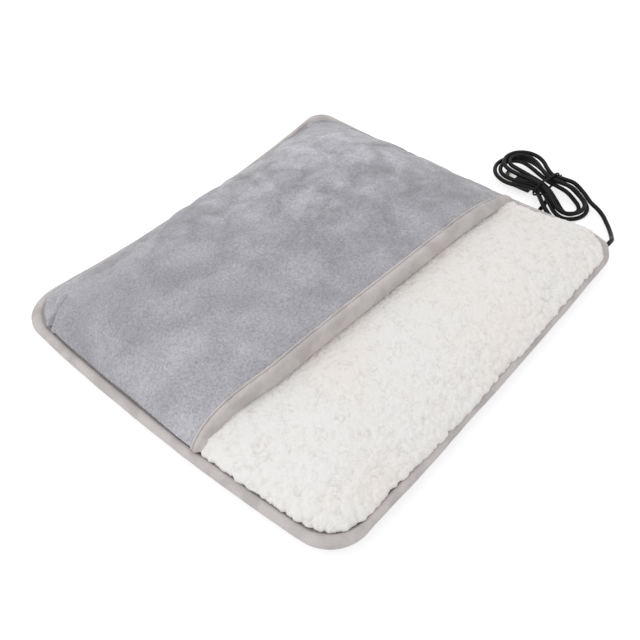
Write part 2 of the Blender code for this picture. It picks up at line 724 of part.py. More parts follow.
def make_crimp(name, x, y):
    """A sleeve that joins two wires, turned about its own axis and laid along X."""
    profile = bpy.data.meshes.new(name)
    corners = [(CRIMP_OUTER, 1), (CRIMP_OUTER, -1), (CRIMP_BORE, -1), (CRIMP_BORE, 1)]
    shape = bmesh.new()
    verts = [shape.verts.new((width / 2, 0, end * CRIMP_LENGTH / 2)) for width, end in corners]
    for start, end in zip(verts, verts[1:] + verts[:1]):
        shape.edges.new((start, end))
    shape.to_mesh(profile)
    shape.free()
    sleeve = place_object(name, profile, CRIMP_METAL, location=(x, y, HEATER_Z))
    sleeve.rotation_euler.y = radians(90)
    screw = sleeve.modifiers.new("turn", "SCREW")
    screw.steps = CRIMP_SIDES
    screw.render_steps = CRIMP_SIDES
    screw.merge_threshold = WELD
    screw.use_merge_vertices = True
    screw.use_smooth_shade = True


def make_fuse():
    """The thermal fuse, a small cylinder along X."""
    shape = bmesh.new()
    bmesh.ops.create_cone(shape, cap_ends=True, segments=CRIMP_SIDES, radius1=FUSE_DIAMETER / 2,
                          radius2=FUSE_DIAMETER / 2, depth=FUSE_LENGTH)
    fuse = object_from(shape, "thermal_fuse", BRIGHT_STEEL, location=(FUSE_X, RETURN_Y, HEATER_Z))
    fuse.rotation_euler.y = radians(90)


def make_heater():
    """Felt sheets, wire and safety parts."""
    box("heater_carrier", CARRIER_SIZE, FELT, location=CARRIER_CENTRE)
    box("heater_cover_sheet", COVER_SHEET_SIZE, FELT, location=COVER_SHEET_CENTRE)
    tube("heating_wire", heating_route(), WIRE_DIAMETER, WIRE_JACKET, 1)
    make_crimp("crimp_live", LIVE_CRIMP_X, FIRST_RUN_Y)
    make_crimp("crimp_return", RETURN_CRIMP_X, RETURN_Y)
    cutout = box("thermal_cutout", CUTOUT_SIZE, BROWN_RESIN, location=(CUTOUT_X, FIRST_RUN_Y, HEATER_Z))
    round_edges(cutout, CUTOUT_EDGE, 1)
    make_fuse()
    cutout_rear = CUTOUT_X - CUTOUT_SIZE[0] / 2 - CLEAR
    fuse_rear = FUSE_X - FUSE_LENGTH / 2 - CLEAR
    straight_wire("link_wire_live", LIVE_CRIMP_X + CLEAR, cutout_rear, FIRST_RUN_Y)
    straight_wire("link_wire_return", RETURN_CRIMP_X + CLEAR, fuse_rear, RETURN_Y)


def make_inner_wiring():
    """The cord's stretch inside the mat and the two leads that leave its jacket."""
    points = [(x, y, INNER_CORD_Z) for x, y in INNER_ROUTE]
    tube("inner_cord", smooth_route(points, CORD_SPACING), CORD_DIAMETER, BLACK_PVC)
    live_end = (CUTOUT_X + CUTOUT_SIZE[0] / 2 + CLEAR, FIRST_RUN_Y)
    return_end = (FUSE_X + FUSE_LENGTH / 2 + CLEAR, RETURN_Y)
    for name, route in (("lead_live", [*LIVE_ROUTE, live_end]), ("lead_return", [*RETURN_ROUTE, return_end])):
        lead = [(x, y, HEATER_Z) for x, y in route]
        tube(name, smooth_route(lead, CORD_SPACING), LEAD_DIAMETER, LEAD_JACKET, 1)


def loop_place(step, reach, radius):
    """Along and across the hank at a step of a loop: front cap, far run, back cap, near run."""
    straight = reach - radius
    cap = pi / 2 / CAP_STEPS
    far_end = CAP_STEPS + RUN_STEPS
    near_start = far_end + 2 * CAP_STEPS
    near_end = near_start + RUN_STEPS
    if step < CAP_STEPS or step > near_end:
        angle = cap * (step if step < CAP_STEPS else step - LOOP_POINTS)
        return -straight - radius * cos(angle), radius * sin(angle)
    if step <= far_end:
        return straight * (2 * (step - CAP_STEPS) / RUN_STEPS - 1), radius
    if step < near_start:
        angle = cap * (step - far_end)
        return straight + radius * sin(angle), radius * cos(angle)
    return straight * (1 - 2 * (step - near_start) / RUN_STEPS), -radius


def hank_nest(turns):
    """Which place of the nest a turn is at, counted from the innermost."""
    shift = NEST_SHIFT * smooth((turns - TURNS_PER_LEVEL) / NEST_SHIFT_TURNS)
    return abs(TURNS_PER_LEVEL - turns) + shift


def hank_world(along, across, height):
    """A place of the hank's own frame, which runs along and across it, in the model's."""
    x = HANK_CENTRE[0] + along * sin(HANK_TURN) + across * cos(HANK_TURN)
    y = HANK_CENTRE[1] + along * cos(HANK_TURN) - across * sin(HANK_TURN)
    return Vector((x, y, height))


def hank_point(step):
    """One point of the wound cord."""
    nest = hank_nest(step / LOOP_POINTS)
    lobe = LOBE_INNER + LOBE_STEP * nest
    along, across = loop_place(step % LOOP_POINTS, REACH_INNER + REACH_STEP * nest, lobe)
    waist = WAIST_INNER + WAIST_STEP * nest
    spread = WAIST_SPREAD + WAIST_SPREAD_STEP * nest
    across *= 1 + (waist / lobe - 1) * exp(-(along / spread) ** 2)
    level = 1 - smooth((step - CLIMB_STEP) / RUN_STEPS)
    across += LEAN * (2 * level - 1) * smooth(along / LEAN_LENGTH) + NEAR_SHIFT * smooth(-along / NEAR_LENGTH)
    lift = PLUG_LIFT * smooth((along - LIFT_START) / LIFT_LENGTH)
    return hank_world(along, across, FLOOR_Z + LEVEL_PITCH * level + lift)


def least_gap(points, diameter):
    """The least gap between parts of a tube that are not next to each other along it."""
    dense = smooth_route(points, diameter / 2)
    apart = NEIGHBOUR_DIAMETERS * diameter
    along = [0.0]
    for start, end in zip(dense, dense[1:]):
        along.append(along[-1] + (end - start).length)
    least = min((first - second).length
                for one, first in enumerate(dense)
                for two, second in enumerate(dense[:one])
                if along[one] - along[two] > apart)
    return least - diameter


def make_cord():
    """The free stretch, the hank with its tail to the plug, and the tie."""
    wound = [hank_point(step) for step in range(FIRST_STEP, LAST_STEP + 1)]
    tail = smooth_route([wound[-1], *TAIL_ROUTE], CORD_SPACING)[1:]
    hank = [*wound, *tail, Vector(PLUG_REAR) - Vector((0, CLEAR, 0))]
    onward = (wound[1] - wound[0]).normalized()
    free = smooth_route([*FREE_ROUTE, wound[0] - onward * CORD_DIAMETER], CORD_SPACING)
    whole = [*free, *hank]
    length = sum((end - start).length for start, end in zip(whole, whole[1:]))
    print("cord outside the mat:", round(length / MM), "mm")
    print("cord's least gap to itself:", round(least_gap(whole, CORD_DIAMETER) / MM, 2), "mm")
    tube("power_cord", [*free, wound[0] - onward * CLEAR], CORD_DIAMETER, BLACK_PVC)
    tube("cord_hank", hank, CORD_DIAMETER, BLACK_PVC, 1)
    section = [hank_world(TIE_ALONG, across, height) for across, height in TIE_SECTION]
    tube("wire_tie", section, TIE_DIAMETER, BLACK_PVC, 1)


def make_plug_body(plug):
    """The overmould: a block with a strain relief behind it and a pocket for the shell in front."""
    width, length, height = BODY_SIZE
    body = box("usb_plug_body", BODY_SIZE, BLACK_PVC, plug, (0, RELIEF_LENGTH + length / 2, 0))
    round_edges(body, BODY_EDGE, 3)
    depth = RELIEF_LENGTH + RELIEF_SINK
    shape = bmesh.new()
    bmesh.ops.create_cone(shape, cap_ends=True, segments=RELIEF_SIDES, radius1=RELIEF_REAR_DIAMETER / 2,
                          radius2=RELIEF_FRONT_DIAMETER / 2, depth=depth)
    relief = as_cutter(object_from(shape, "strain_relief", None, plug, (0, depth / 2, 0)))
    relief.rotation_euler.x = radians(-90)
    combine(body, relief, "UNION")
    pocket_size = (SHELL_SIZE[0] + 2 * CLEAR, 2 * (SHELL_SINK + CLEAR), SHELL_SIZE[2] + 2 * CLEAR)
    pocket = as_cutter(box("shell_pocket", pocket_size, None, plug, (0, RELIEF_LENGTH + length, 0)))
    combine(body, pocket, "DIFFERENCE")


def make_plug_shell(plug):
    """The bright shell, open at its tip."""
    shape = bmesh.new()
    bmesh.ops.create_cube(shape, size=1)
    bmesh.ops.scale(shape, vec=SHELL_SIZE, verts=shape.verts)
    tip = [face for face in shape.faces if face.normal.y > 0.5]
    bmesh.ops.delete(shape, geom=tip, context="FACES_ONLY")
    middle = RELIEF_LENGTH + BODY_SIZE[1] - SHELL_SINK + SHELL_SIZE[1] / 2
    shell = object_from(shape, "usb_plug_shell", BRIGHT_STEEL, plug, (0, middle, 0))
    thicken(shell, SHELL_WALL, -1)
    return middle


def make_plug():
    """The USB plug, hung from an empty at the end of the cord."""
    plug = empty("plug_place", PLUG_REAR)
    make_plug_body(plug)
    middle = make_plug_shell(plug)
    rear = middle - SHELL_SIZE[1] / 2 + SHELL_WALL + CLEAR
    tongue_y = rear + TONGUE_SIZE[1] / 2
    box("usb_plug_tongue", TONGUE_SIZE, WHITE_NYLON, plug, (0, tongue_y, TONGUE_Z))
    for number in range(CONTACT_COUNT):
        x = (number - (CONTACT_COUNT - 1) / 2) * CONTACT_PITCH
        contact_y = rear + CONTACT_SIZE[1] / 2
        box("usb_contact_%d" % (number + 1), CONTACT_SIZE, GOLD_PLATE, plug, (x, contact_y, CONTACT_Z))


def make_pocket():
    """The pocket's pieces, hung from an empty on their hinge along the rear seam."""
    rear = max(y for x, y, z in ring(COVER_SEAM_INSET, 0))
    hinge = empty("pocket_hinge", (0, rear + CLEAR, COVER_SEAM_Z))
    make_pocket_cover(hinge)
    make_pocket_padding(hinge)
    make_pocket_lining(hinge)
    make_mouth_binding(hinge)
    print("pocket hinge:", [round(value / MM, 2) for value in hinge.location], "mm")


make_base_cover()
make_base_padding()
make_bed_padding(make_anchor())
make_foot_bed()
make_perimeter_binding()
make_heater()
make_inner_wiring()
make_pocket()
make_cord()
make_plug()
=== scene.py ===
# %% [markdown]
# # An electric foot warmer
# A foot warmer is a padded mat with a fabric pocket. Two plush panels and two fleece panels hold the
# wadding and the heater, a tape is folded round the whole edge, and a thin black lead leaves one corner.
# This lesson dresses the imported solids: they give every place and size, and each cell below makes one
# piece or one finish of the real mat over them.

# %% Load the frame
from math import cos, exp, pi, radians, sin

import bpy
import numpy as np
from mathutils import Matrix, Vector, noise


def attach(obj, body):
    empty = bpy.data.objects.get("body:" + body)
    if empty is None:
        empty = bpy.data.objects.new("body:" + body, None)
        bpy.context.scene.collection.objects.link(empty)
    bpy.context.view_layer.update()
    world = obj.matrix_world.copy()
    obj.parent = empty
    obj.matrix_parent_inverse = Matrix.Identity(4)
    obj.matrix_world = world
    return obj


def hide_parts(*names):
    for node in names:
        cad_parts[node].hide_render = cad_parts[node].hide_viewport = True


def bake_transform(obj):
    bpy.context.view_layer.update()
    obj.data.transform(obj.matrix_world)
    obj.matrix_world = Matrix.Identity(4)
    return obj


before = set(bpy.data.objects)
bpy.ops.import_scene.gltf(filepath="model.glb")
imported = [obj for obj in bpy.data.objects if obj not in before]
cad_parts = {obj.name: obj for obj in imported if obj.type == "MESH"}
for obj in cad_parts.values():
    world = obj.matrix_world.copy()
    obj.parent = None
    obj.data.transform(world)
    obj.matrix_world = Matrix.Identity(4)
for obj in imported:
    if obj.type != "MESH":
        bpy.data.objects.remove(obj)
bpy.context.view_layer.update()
MM = 0.001
print("nodes:", len(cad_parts))

# %% [markdown]
# ## Camera
# The photograph looks down at the mat's front left side. A pinhole camera was fitted to the mat's outline,
# and the metal plug's width set the scale, so the lens and the place below are fitted ones. An empty as a
# target would do as well, but a track quaternion with a small roll keeps it in one object.

# %% Place the camera
CAMERA_PLACE = Vector((-0.35157, -0.31930, 0.46678))
CAMERA_TARGET = Vector((-0.03618, -0.02660, 0.012))
CAMERA_ROLL = radians(-2.864)

lens = bpy.data.cameras.new("photo_camera")
lens.sensor_width = 36
lens.lens = 43.875
lens.clip_start = 0.01
camera = bpy.data.objects.new("photo_camera", lens)
bpy.context.scene.collection.objects.link(camera)
camera.rotation_mode = "QUATERNION"
camera.location = CAMERA_PLACE
aim = (CAMERA_TARGET - CAMERA_PLACE).to_track_quat("-Z", "Y").to_matrix()
camera.rotation_quaternion = (aim @ Matrix.Rotation(CAMERA_ROLL, 3, "Z")).to_quaternion()
bpy.context.scene.camera = camera
print("camera", round((CAMERA_TARGET - CAMERA_PLACE).length, 3), "m from what it looks at")

# %% [markdown]
# ## Modelling helpers
# Every piece starts from one of Blender's primitives. An operator works on all that is selected, so each
# start first lets go of everything. A sewn panel is a grid that is laid on the mat's plan: that keeps
# the faces square and lets a height be given by the distance from the edge alone.

# %% Select, add and finish a piece
def let_go():
    """Leaves edit mode and deselects all."""
    if bpy.context.mode != "OBJECT":
        bpy.ops.object.mode_set(mode="OBJECT")
    bpy.ops.object.select_all(action="DESELECT")


def hold(piece):
    """Makes one piece the selected and active one."""
    let_go()
    piece.select_set(True)
    bpy.context.view_layer.objects.active = piece
    return piece


def named(name):
    """Names the primitive that was just added."""
    piece = bpy.context.object
    piece.name = name
    piece.data.name = name
    return piece


def apply_all(piece):
    """Applies the piece's modifiers in order."""
    hold(piece)
    for modifier in list(piece.modifiers):
        bpy.ops.object.modifier_apply(modifier=modifier.name)


def settle(piece):
    """Puts the piece's place, turn and scale into its mesh."""
    hold(piece)
    bpy.ops.object.transform_apply(location=True, rotation=True, scale=True)


def corners_of(piece):
    """The piece's vertices as an array of places."""
    places = np.empty(len(piece.data.vertices) * 3)
    piece.data.vertices.foreach_get("co", places)
    return places.reshape(-1, 3)


def move_corners(piece, places):
    """Moves the piece's vertices."""
    piece.data.vertices.foreach_set("co", np.asarray(places, dtype=float).ravel())
    piece.data.update()


def normals_of(piece):
    """The direction that each vertex faces."""
    facing = np.empty(len(piece.data.vertices) * 3)
    piece.data.vertex_normals.foreach_get("vector", facing)
    return facing.reshape(-1, 3)


def smooth_all(piece, angle=180):
    """Shades the piece smooth, with edges sharper than an angle kept."""
    hold(piece)
    bpy.ops.object.shade_smooth_by_angle(angle=radians(angle))


# %% [markdown]
# ## The mat's plan
# All panels are cut to one plan: a rectangle with round corners whose sides bow a little, as sewn
# edges do. A panel's height depends only on how far in from that edge a place is, so the plan and one
# height curve for each panel describe the whole mat. These are the same curves as the solids have.

# %% Draw the plan
HALF_WIDTH = 192.5 * MM
HALF_DEPTH = 175 * MM
CORNER_RADII = (34 * MM, 21 * MM, 36 * MM, 27 * MM)
SIDE_BOWS = {"front": 2 * MM, "right": -6 * MM, "back": -14 * MM, "left": 8 * MM}


def plan_outline(corner_steps=24, side_steps=80):
    """The plan's points, counter-clockwise, with the middle of its box at the origin."""
    arcs = []
    for corner, radius in enumerate(CORNER_RADII):
        side_x = 1 if corner in (0, 1) else -1
        side_y = 1 if corner in (1, 2) else -1
        middle = Vector((side_x * (HALF_WIDTH - radius), side_y * (HALF_DEPTH - radius)))
        turns = [pi / 2 * (corner - 1 + step / corner_steps) for step in range(corner_steps + 1)]
        arcs.append([middle + radius * Vector((cos(turn), sin(turn))) for turn in turns])
    points = []
    for arc, ahead in zip(arcs, arcs[1:] + arcs[:1]):
        points += arc + [arc[-1].lerp(ahead[0], step / side_steps) for step in range(1, side_steps)]
    places = np.array(points)
    x, y = places[:, 0].copy(), places[:, 1].copy()
    side = np.where(x > 0, SIDE_BOWS["right"], SIDE_BOWS["left"])
    end = np.where(y > 0, SIDE_BOWS["back"], SIDE_BOWS["front"])
    places[:, 0] = x + side * (1 - (y / HALF_DEPTH) ** 2) * x / HALF_WIDTH
    places[:, 1] = y + end * (1 - (x / HALF_WIDTH) ** 2) * y / HALF_DEPTH
    return places - (places.max(axis=0) + places.min(axis=0)) / 2


OUTLINE = plan_outline()
OUTLINE_ANGLES = np.arctan2(OUTLINE[:, 1], OUTLINE[:, 0])
OUTLINE_REACH = np.hypot(OUTLINE[:, 0], OUTLINE[:, 1])
ORDER = np.argsort(OUTLINE_ANGLES)


def reach(angle):
    """How far the plan's edge is from its middle in a direction."""
    return np.interp(angle, OUTLINE_ANGLES[ORDER], OUTLINE_REACH[ORDER], period=2 * pi)


def inset_of(x, y):
    """How far in from the edge a place in the plan is."""
    return HALF_DEPTH * (1 - np.hypot(x, y) / reach(np.arctan2(y, x)))


def swell(inset, start, rise, roundness, fullness):
    """How far a padded panel has risen at an inset."""
    share = np.clip((HALF_DEPTH - inset) / (HALF_DEPTH - start), 0, 1)
    return rise * (1 - share ** roundness) ** (1 / fullness)


SEAM_Z = 14.2 * MM
BED_SEAM_Z = 13.8 * MM
COVER_RIM = 12.4 * MM
LINING_RIM = 15.5 * MM
BED_RIM = 14.6 * MM
FABRIC = 1.2 * MM
LAYER_GAP = 1.5 * MM


def base_under(inset):
    return np.maximum(0, 11.1 * MM - swell(inset, 13 * MM, 11.8 * MM, 9, 1.7))


def bed_top(inset):
    return BED_SEAM_Z + swell(inset, BED_RIM, 24.2 * MM, 4.5, 1.8)


def lining_under(inset):
    return 17.6 * MM + swell(inset, LINING_RIM, 28.4 * MM, 5, 1.45)


def cover_top(inset):
    return SEAM_Z + swell(inset, COVER_RIM, 39.8 * MM, 4.5, 2)


print("plan", [round(float(value / MM), 1) for value in OUTLINE.max(axis=0) - OUTLINE.min(axis=0)], "mm")

# %% [markdown]
# A sewn corner holds less padding than a straight side, so it lies flatter. Three corners show this:
# the tape behind them can be seen over the plush or the fleece. Every padded layer is lowered there
# alike, so none of them comes through the next.

# %% Flatten the corners
FLAT_CORNERS = (((180, 165), (98, 62), 0.72), ((-168, 165), (74, 54), 0.56), ((196, -98), (46, 74), 0.5))


def flat_share(places):
    """By what share the padding is lowered at each place."""
    share = np.zeros(len(places))
    for (x, y), (long, deep), most in FLAT_CORNERS:
        away = ((places[:, 0] / MM - x) / long) ** 2 + ((places[:, 1] / MM - y) / deep) ** 2
        share += most * np.exp(-away)
    return share


def flatten(places):
    """Lowers the places near the flat corners towards the seam's height."""
    lowered = SEAM_Z + (places[:, 2] - SEAM_Z) * (1 - flat_share(places))
    height = np.where(places[:, 2] > SEAM_Z, lowered, places[:, 2])
    return np.stack([places[:, 0], places[:, 1], height], axis=1)


print("flattened corners:", len(FLAT_CORNERS))

# %% [markdown]
# The pocket's front edge runs a little askew across the mat and turns back towards its two ends, where
# the seam holds it. The two turns are rounded here, which no cut straight across the panels would do.

# %% Draw the mouth line
MOUTH_Y = -65 * MM
MOUTH_SKEW = 0.055
LEFT_TURN_X, LEFT_SLOPE = -120 * MM, 0.195
RIGHT_TURN_X, RIGHT_SLOPE = 140 * MM, 0.275


def past(distance, ease=8 * MM):
    """The distance past a turn, or nothing before it, with the turn rounded."""
    return (distance + np.sqrt(distance ** 2 + ease ** 2)) / 2


def mouth_y(x):
    """The pocket's front edge at an X."""
    turned = LEFT_SLOPE * past(LEFT_TURN_X - x) + RIGHT_SLOPE * past(x - RIGHT_TURN_X)
    return MOUTH_Y - MOUTH_SKEW * x + turned


for x in (-180, 0, 180):
    print("mouth line at X", x, "mm:", round(float(mouth_y(x * MM) / MM), 1), "mm")

# %% [markdown]
# ## Laying a grid on the plan
# The panels are steep at the seam and nearly flat in the middle. If the grid's rows kept equal steps in
# the plan, the steep wall would get only one or two faces. So each ring of the grid is put at a step
# along the panel's own curve, and the rings crowd towards the seam, where the plush rolls over the tape.
# The pocket's panels end at the mouth, where their first row lies.

# %% Lay a grid on the plan
def ring_inset(height, rim, share, fine=4000):
    """The inset of a place that is at a share of the way along a panel's curve from its rim to the middle."""
    insets = rim + (HALF_DEPTH - rim) * np.linspace(0, 1, fine) ** 2
    heights = height(insets)
    steps = np.hypot(np.diff(insets), np.diff(heights))
    along = np.concatenate([[0], np.cumsum(steps)])
    return np.interp(share * along[-1], along, insets)


def on_plan(u, v, height, rim, crowd=1.0):
    """Places in the plan for a grid's own coordinates, which run from -1 to 1 each way."""
    ring = np.maximum(np.abs(u), np.abs(v))
    inset = ring_inset(height, rim, (1 - ring) ** crowd)
    angle = np.arctan2(v * HALF_DEPTH, u * HALF_WIDTH)
    out = (1 - inset / HALF_DEPTH) * reach(angle)
    return out * np.cos(angle), out * np.sin(angle), inset


def mouth_v(u, height, rim, crowd=1.0):
    """Where each column of a grid meets the mouth line."""
    low, high = np.full_like(u, -0.999), np.zeros_like(u)
    for _ in range(40):
        middle = (low + high) / 2
        x, y, _inset = on_plan(u, middle, height, rim, crowd)
        front = y < mouth_y(x)
        low, high = np.where(front, middle, low), np.where(front, high, middle)
    return (low + high) / 2


def grid(name, columns, rows):
    """A flat grid with sides from -1 to 1."""
    let_go()
    bpy.ops.mesh.primitive_grid_add(x_subdivisions=columns, y_subdivisions=rows, size=2)
    return named(name)


def lay_panel(piece, height, rim, from_mouth=False, bend_rows=None, crowd=1.0):
    """Lays a grid on a panel's surface and returns each vertex's inset."""
    places = corners_of(piece)
    u, v = places[:, 0], places[:, 1]
    if from_mouth:
        start = mouth_v(u, height, rim, crowd)
        v = start + (1 - start) * (v + 1) / 2
    if bend_rows is not None:
        v = bend_rows(u, v)
    x, y, inset = on_plan(u, v, height, rim, crowd)
    move_corners(piece, flatten(np.stack([x, y, height(inset)], axis=1)))
    return inset


def flip_faces(piece):
    """Turns a panel's faces over."""
    hold(piece)
    bpy.ops.object.mode_set(mode="EDIT")
    bpy.ops.mesh.select_all(action="SELECT")
    bpy.ops.mesh.flip_normals()
    let_go()


def add_wall(piece, thickness, side):
    """Gives a panel its fabric's thickness and applies it."""
    wall = piece.modifiers.new("fabric", "SOLIDIFY")
    wall.thickness = thickness
    wall.offset = side
    wall.use_even_offset = False
    apply_all(piece)
    return piece


# %% [markdown]
# Plush and fleece are thick, so where they are sewn down their foot swells out over the tape instead of
# rising straight from the seam. The seam line stays where it is, and the few millimetres above it are
# pushed outwards, most of all about 4 mm up.

# %% Roll a panel's foot over the tape
ROLL_HEIGHTS = np.array([0, 1.1, 2.1, 3.1, 4.8, 8, 12, 18, 24]) * MM
ROLL_SHARES = np.array([0, 0.22, 0.55, 0.93, 1, 0.78, 0.42, 0.1, 0])


def slow_noise(places, scale, seed):
    """A slow noise, from about -0.7 to 0.7, at each place."""
    return np.array([noise.noise(Vector((x * scale, y * scale, z * scale + seed))) for x, y, z in places])


def roll_foot(places, inset, seam_z, amount):
    """Pushes the places just above a seam out by up to an amount, which may differ from place to place."""
    share = np.interp(places[:, 2] - seam_z, ROLL_HEIGHTS, ROLL_SHARES)
    out = (HALF_DEPTH - inset + amount * share) / (HALF_DEPTH - inset)
    return places * np.stack([out, out, np.ones_like(out)], axis=1)


# %% [markdown]
# ## Finishes
# Cloth is seen through three scales: the large one is how the pile was brushed, the middle one is its
# tufts, and the smallest is the fibres' fuzz. Each scale is one noise. Groups give the colours and
# the bump, and each material keeps its own Principled shader, so a scene can still repaint it.

# %% Node helpers
def linear(red, green, blue):
    """A colour picked in a paint program, from 0 to 255, as the shader wants it."""
    def channel(value):
        value = value / 255
        return value / 12.92 if value <= 0.04045 else ((value + 0.055) / 1.055) ** 2.4
    return (channel(red), channel(green), channel(blue), 1)


def new_finish(name, colour, roughness, metallic=0.0):
    """A Principled material and its node tree."""
    look = bpy.data.materials.new(name)
    look.use_nodes = True
    shader = look.node_tree.nodes["Principled BSDF"]
    shader.inputs["Base Color"].default_value = colour
    shader.inputs["Roughness"].default_value = roughness
    shader.inputs["Metallic"].default_value = metallic
    return look, look.node_tree, shader


def add_node(tree, kind, links=None, **settings):
    """Adds a node, sets its sockets by name and links what is given."""
    node = tree.nodes.new(kind)
    for key, value in settings.items():
        if key in node.bl_rna.properties:
            setattr(node, key, value)
        else:
            node.inputs[key.replace("_", " ")].default_value = value
    for key, source in (links or {}).items():
        tree.links.new(source, node.inputs[key])
    return node


def object_place(tree):
    """The Object coordinates of the surface."""
    return tree.nodes.new("ShaderNodeTexCoord").outputs["Object"]


def stretch(tree, source, low, high, to_low, to_high, kind="LINEAR"):
    """Maps a value from one range to another."""
    node = add_node(tree, "ShaderNodeMapRange", {"Value": source}, interpolation_type=kind)
    for socket, value in zip(("From Min", "From Max", "To Min", "To Max"), (low, high, to_low, to_high)):
        node.inputs[socket].default_value = value
    return node.outputs["Result"]


def mix_colours(tree, share, first, second):
    """Mixes two colours, each a colour or another node's output."""
    node = add_node(tree, "ShaderNodeMix", data_type="RGBA")
    tree.links.new(share, node.inputs["Factor"])
    sockets = [socket for socket in node.inputs if socket.type == "RGBA"]
    for socket, colour in zip(sockets, (first, second)):
        if isinstance(colour, tuple):
            socket.default_value = colour
        else:
            tree.links.new(colour, socket)
    return [socket for socket in node.outputs if socket.type == "RGBA"][0]


def scaled(tree, colour, factor):
    """A colour made lighter or darker by a value."""
    node = add_node(tree, "ShaderNodeVectorMath", operation="MULTIPLY")
    tree.links.new(colour, node.inputs[0])
    tree.links.new(factor, node.inputs[1])
    return node.outputs[0]


def worked_out(tree, operation, *values):
    """A value worked out from others, each a number or another node's output."""
    node = add_node(tree, "ShaderNodeMath", operation=operation)
    for socket, value in zip(node.inputs, values):
        if isinstance(value, float):
            socket.default_value = value
        else:
            tree.links.new(value, socket)
    return node.outputs[0]


def pile_group():
    """Brushed pile: a mask of the nap's direction, and a height of tufts and fuzz."""
    group = bpy.data.node_groups.new("brushed_pile", "ShaderNodeTree")
    group.interface.new_socket("Place", in_out="INPUT", socket_type="NodeSocketVector")
    group.interface.new_socket("Patch size", in_out="INPUT", socket_type="NodeSocketFloat")
    group.interface.new_socket("Nap", in_out="OUTPUT", socket_type="NodeSocketFloat")
    group.interface.new_socket("Tufts", in_out="OUTPUT", socket_type="NodeSocketFloat")
    way_in = group.nodes.new("NodeGroupInput")
    way_out = group.nodes.new("NodeGroupOutput")
    place = way_in.outputs["Place"]
    patches = add_node(group, "ShaderNodeTexNoise", {"Vector": place, "Scale": way_in.outputs["Patch size"]},
                       Detail=2.0, Roughness=0.45, Distortion=0.3)
    nap = stretch(group, patches.outputs["Fac"], 0.33, 0.62, 0.0, 1.0, "SMOOTHSTEP")
    tufts = add_node(group, "ShaderNodeTexNoise", {"Vector": place}, Scale=560.0, Detail=2.5, Roughness=0.7)
    fuzz = add_node(group, "ShaderNodeTexNoise", {"Vector": place}, Scale=1500.0, Detail=1.0)
    both = worked_out(group, "MULTIPLY_ADD", fuzz.outputs["Fac"], 0.5, tufts.outputs["Fac"])
    group.links.new(nap, way_out.inputs["Nap"])
    group.links.new(both, way_out.inputs["Tufts"])
    return group


BRUSHED_PILE = pile_group()


def scuff_and_sheen_group():
    """Crushed pile and painted sheen: small pale and dark marks, and two wide lighter areas of painted sheen.
    """
    group = bpy.data.node_groups.new("scuffs_and_painted_sheen", "ShaderNodeTree")
    group.interface.new_socket("Place", in_out="INPUT", socket_type="NodeSocketVector")
    group.interface.new_socket("Marks", in_out="OUTPUT", socket_type="NodeSocketFloat")
    group.interface.new_socket("Painted sheen", in_out="OUTPUT", socket_type="NodeSocketFloat")
    place = group.nodes.new("NodeGroupInput").outputs["Place"]
    way_out = group.nodes.new("NodeGroupOutput")
    marks = add_node(group, "ShaderNodeTexNoise", {"Vector": place}, Scale=48.0, Detail=5.0, Roughness=0.6,
                     Distortion=0.5)
    toward = add_node(group, "ShaderNodeVectorMath", {}, operation="DOT_PRODUCT")
    group.links.new(place, toward.inputs[0])
    toward.inputs[1].default_value = (0.6, 0.8, 0)
    rearward = stretch(group, toward.outputs["Value"], -0.03, 0.11, 0.2, 1.0, "SMOOTHSTEP")
    sharp = stretch(group, marks.outputs["Fac"], 0.34, 0.66, -1.0, 1.0)
    group.links.new(worked_out(group, "MULTIPLY", sharp, rearward), way_out.inputs["Marks"])
    painted_sheen_areas = None
    # Painted sheen: two wide areas, one at the left side and one towards the back, are made lighter.
    for spot, wide in (((0.1, 0.09, 0.05), 0.11), ((-0.165, -0.03, 0.03), 0.095)):
        away = add_node(group, "ShaderNodeVectorMath", {}, operation="DISTANCE")
        group.links.new(place, away.inputs[0])
        away.inputs[1].default_value = spot
        painted_sheen_area = stretch(group, away.outputs["Value"], 0.02, wide, 1.0, 0.0, "SMOOTHSTEP")
        painted_sheen_areas = painted_sheen_area if painted_sheen_areas is None else worked_out(group, "ADD", painted_sheen_areas, painted_sheen_area)
    group.links.new(painted_sheen_areas, way_out.inputs["Painted sheen"])
    return group


SCUFFS_AND_SHEEN = scuff_and_sheen_group()


def plush_finish(name, dark, light, patch_size, sheen, grain, relief_depth=0.0006, scuffs=0.0):
    """A brushed plush: two tones of nap, sheen at grazing angles and a fine pile."""
    look, tree, shader = new_finish(name, light, 0.95)
    pile = add_node(tree, "ShaderNodeGroup")
    pile.node_tree = BRUSHED_PILE
    tree.links.new(object_place(tree), pile.inputs["Place"])
    pile.inputs["Patch size"].default_value = patch_size
    tones = mix_colours(tree, pile.outputs["Nap"], dark, light)
    if scuffs:
        scuff_and_sheen = add_node(tree, "ShaderNodeGroup")
        scuff_and_sheen.node_tree = SCUFFS_AND_SHEEN
        tree.links.new(object_place(tree), scuff_and_sheen.inputs["Place"])
        # Painted sheen: the two wide areas are made up to 15 % lighter; the marks below are the real scuffs.
        tones = scaled(tree, tones, stretch(tree, scuff_and_sheen.outputs["Painted sheen"], 0.0, 1.0, 0.99, 1.15))
        tones = scaled(tree, tones, stretch(tree, scuff_and_sheen.outputs["Marks"], -1.0, 1.0, 1 - scuffs, 1 + scuffs))
    speck = stretch(tree, pile.outputs["Tufts"], 0.5, 1.0, 1 - grain, 1 + grain)
    tree.links.new(scaled(tree, tones, speck), shader.inputs["Base Color"])
    relief = add_node(tree, "ShaderNodeBump", {"Height": pile.outputs["Tufts"]}, Strength=0.6,
                      Distance=relief_depth)
    tree.links.new(relief.outputs["Normal"], shader.inputs["Normal"])
    shader.inputs["Sheen Weight"].default_value = sheen
    shader.inputs["Sheen Roughness"].default_value = 0.4
    shader.inputs["Specular IOR Level"].default_value = 0.1
    return look


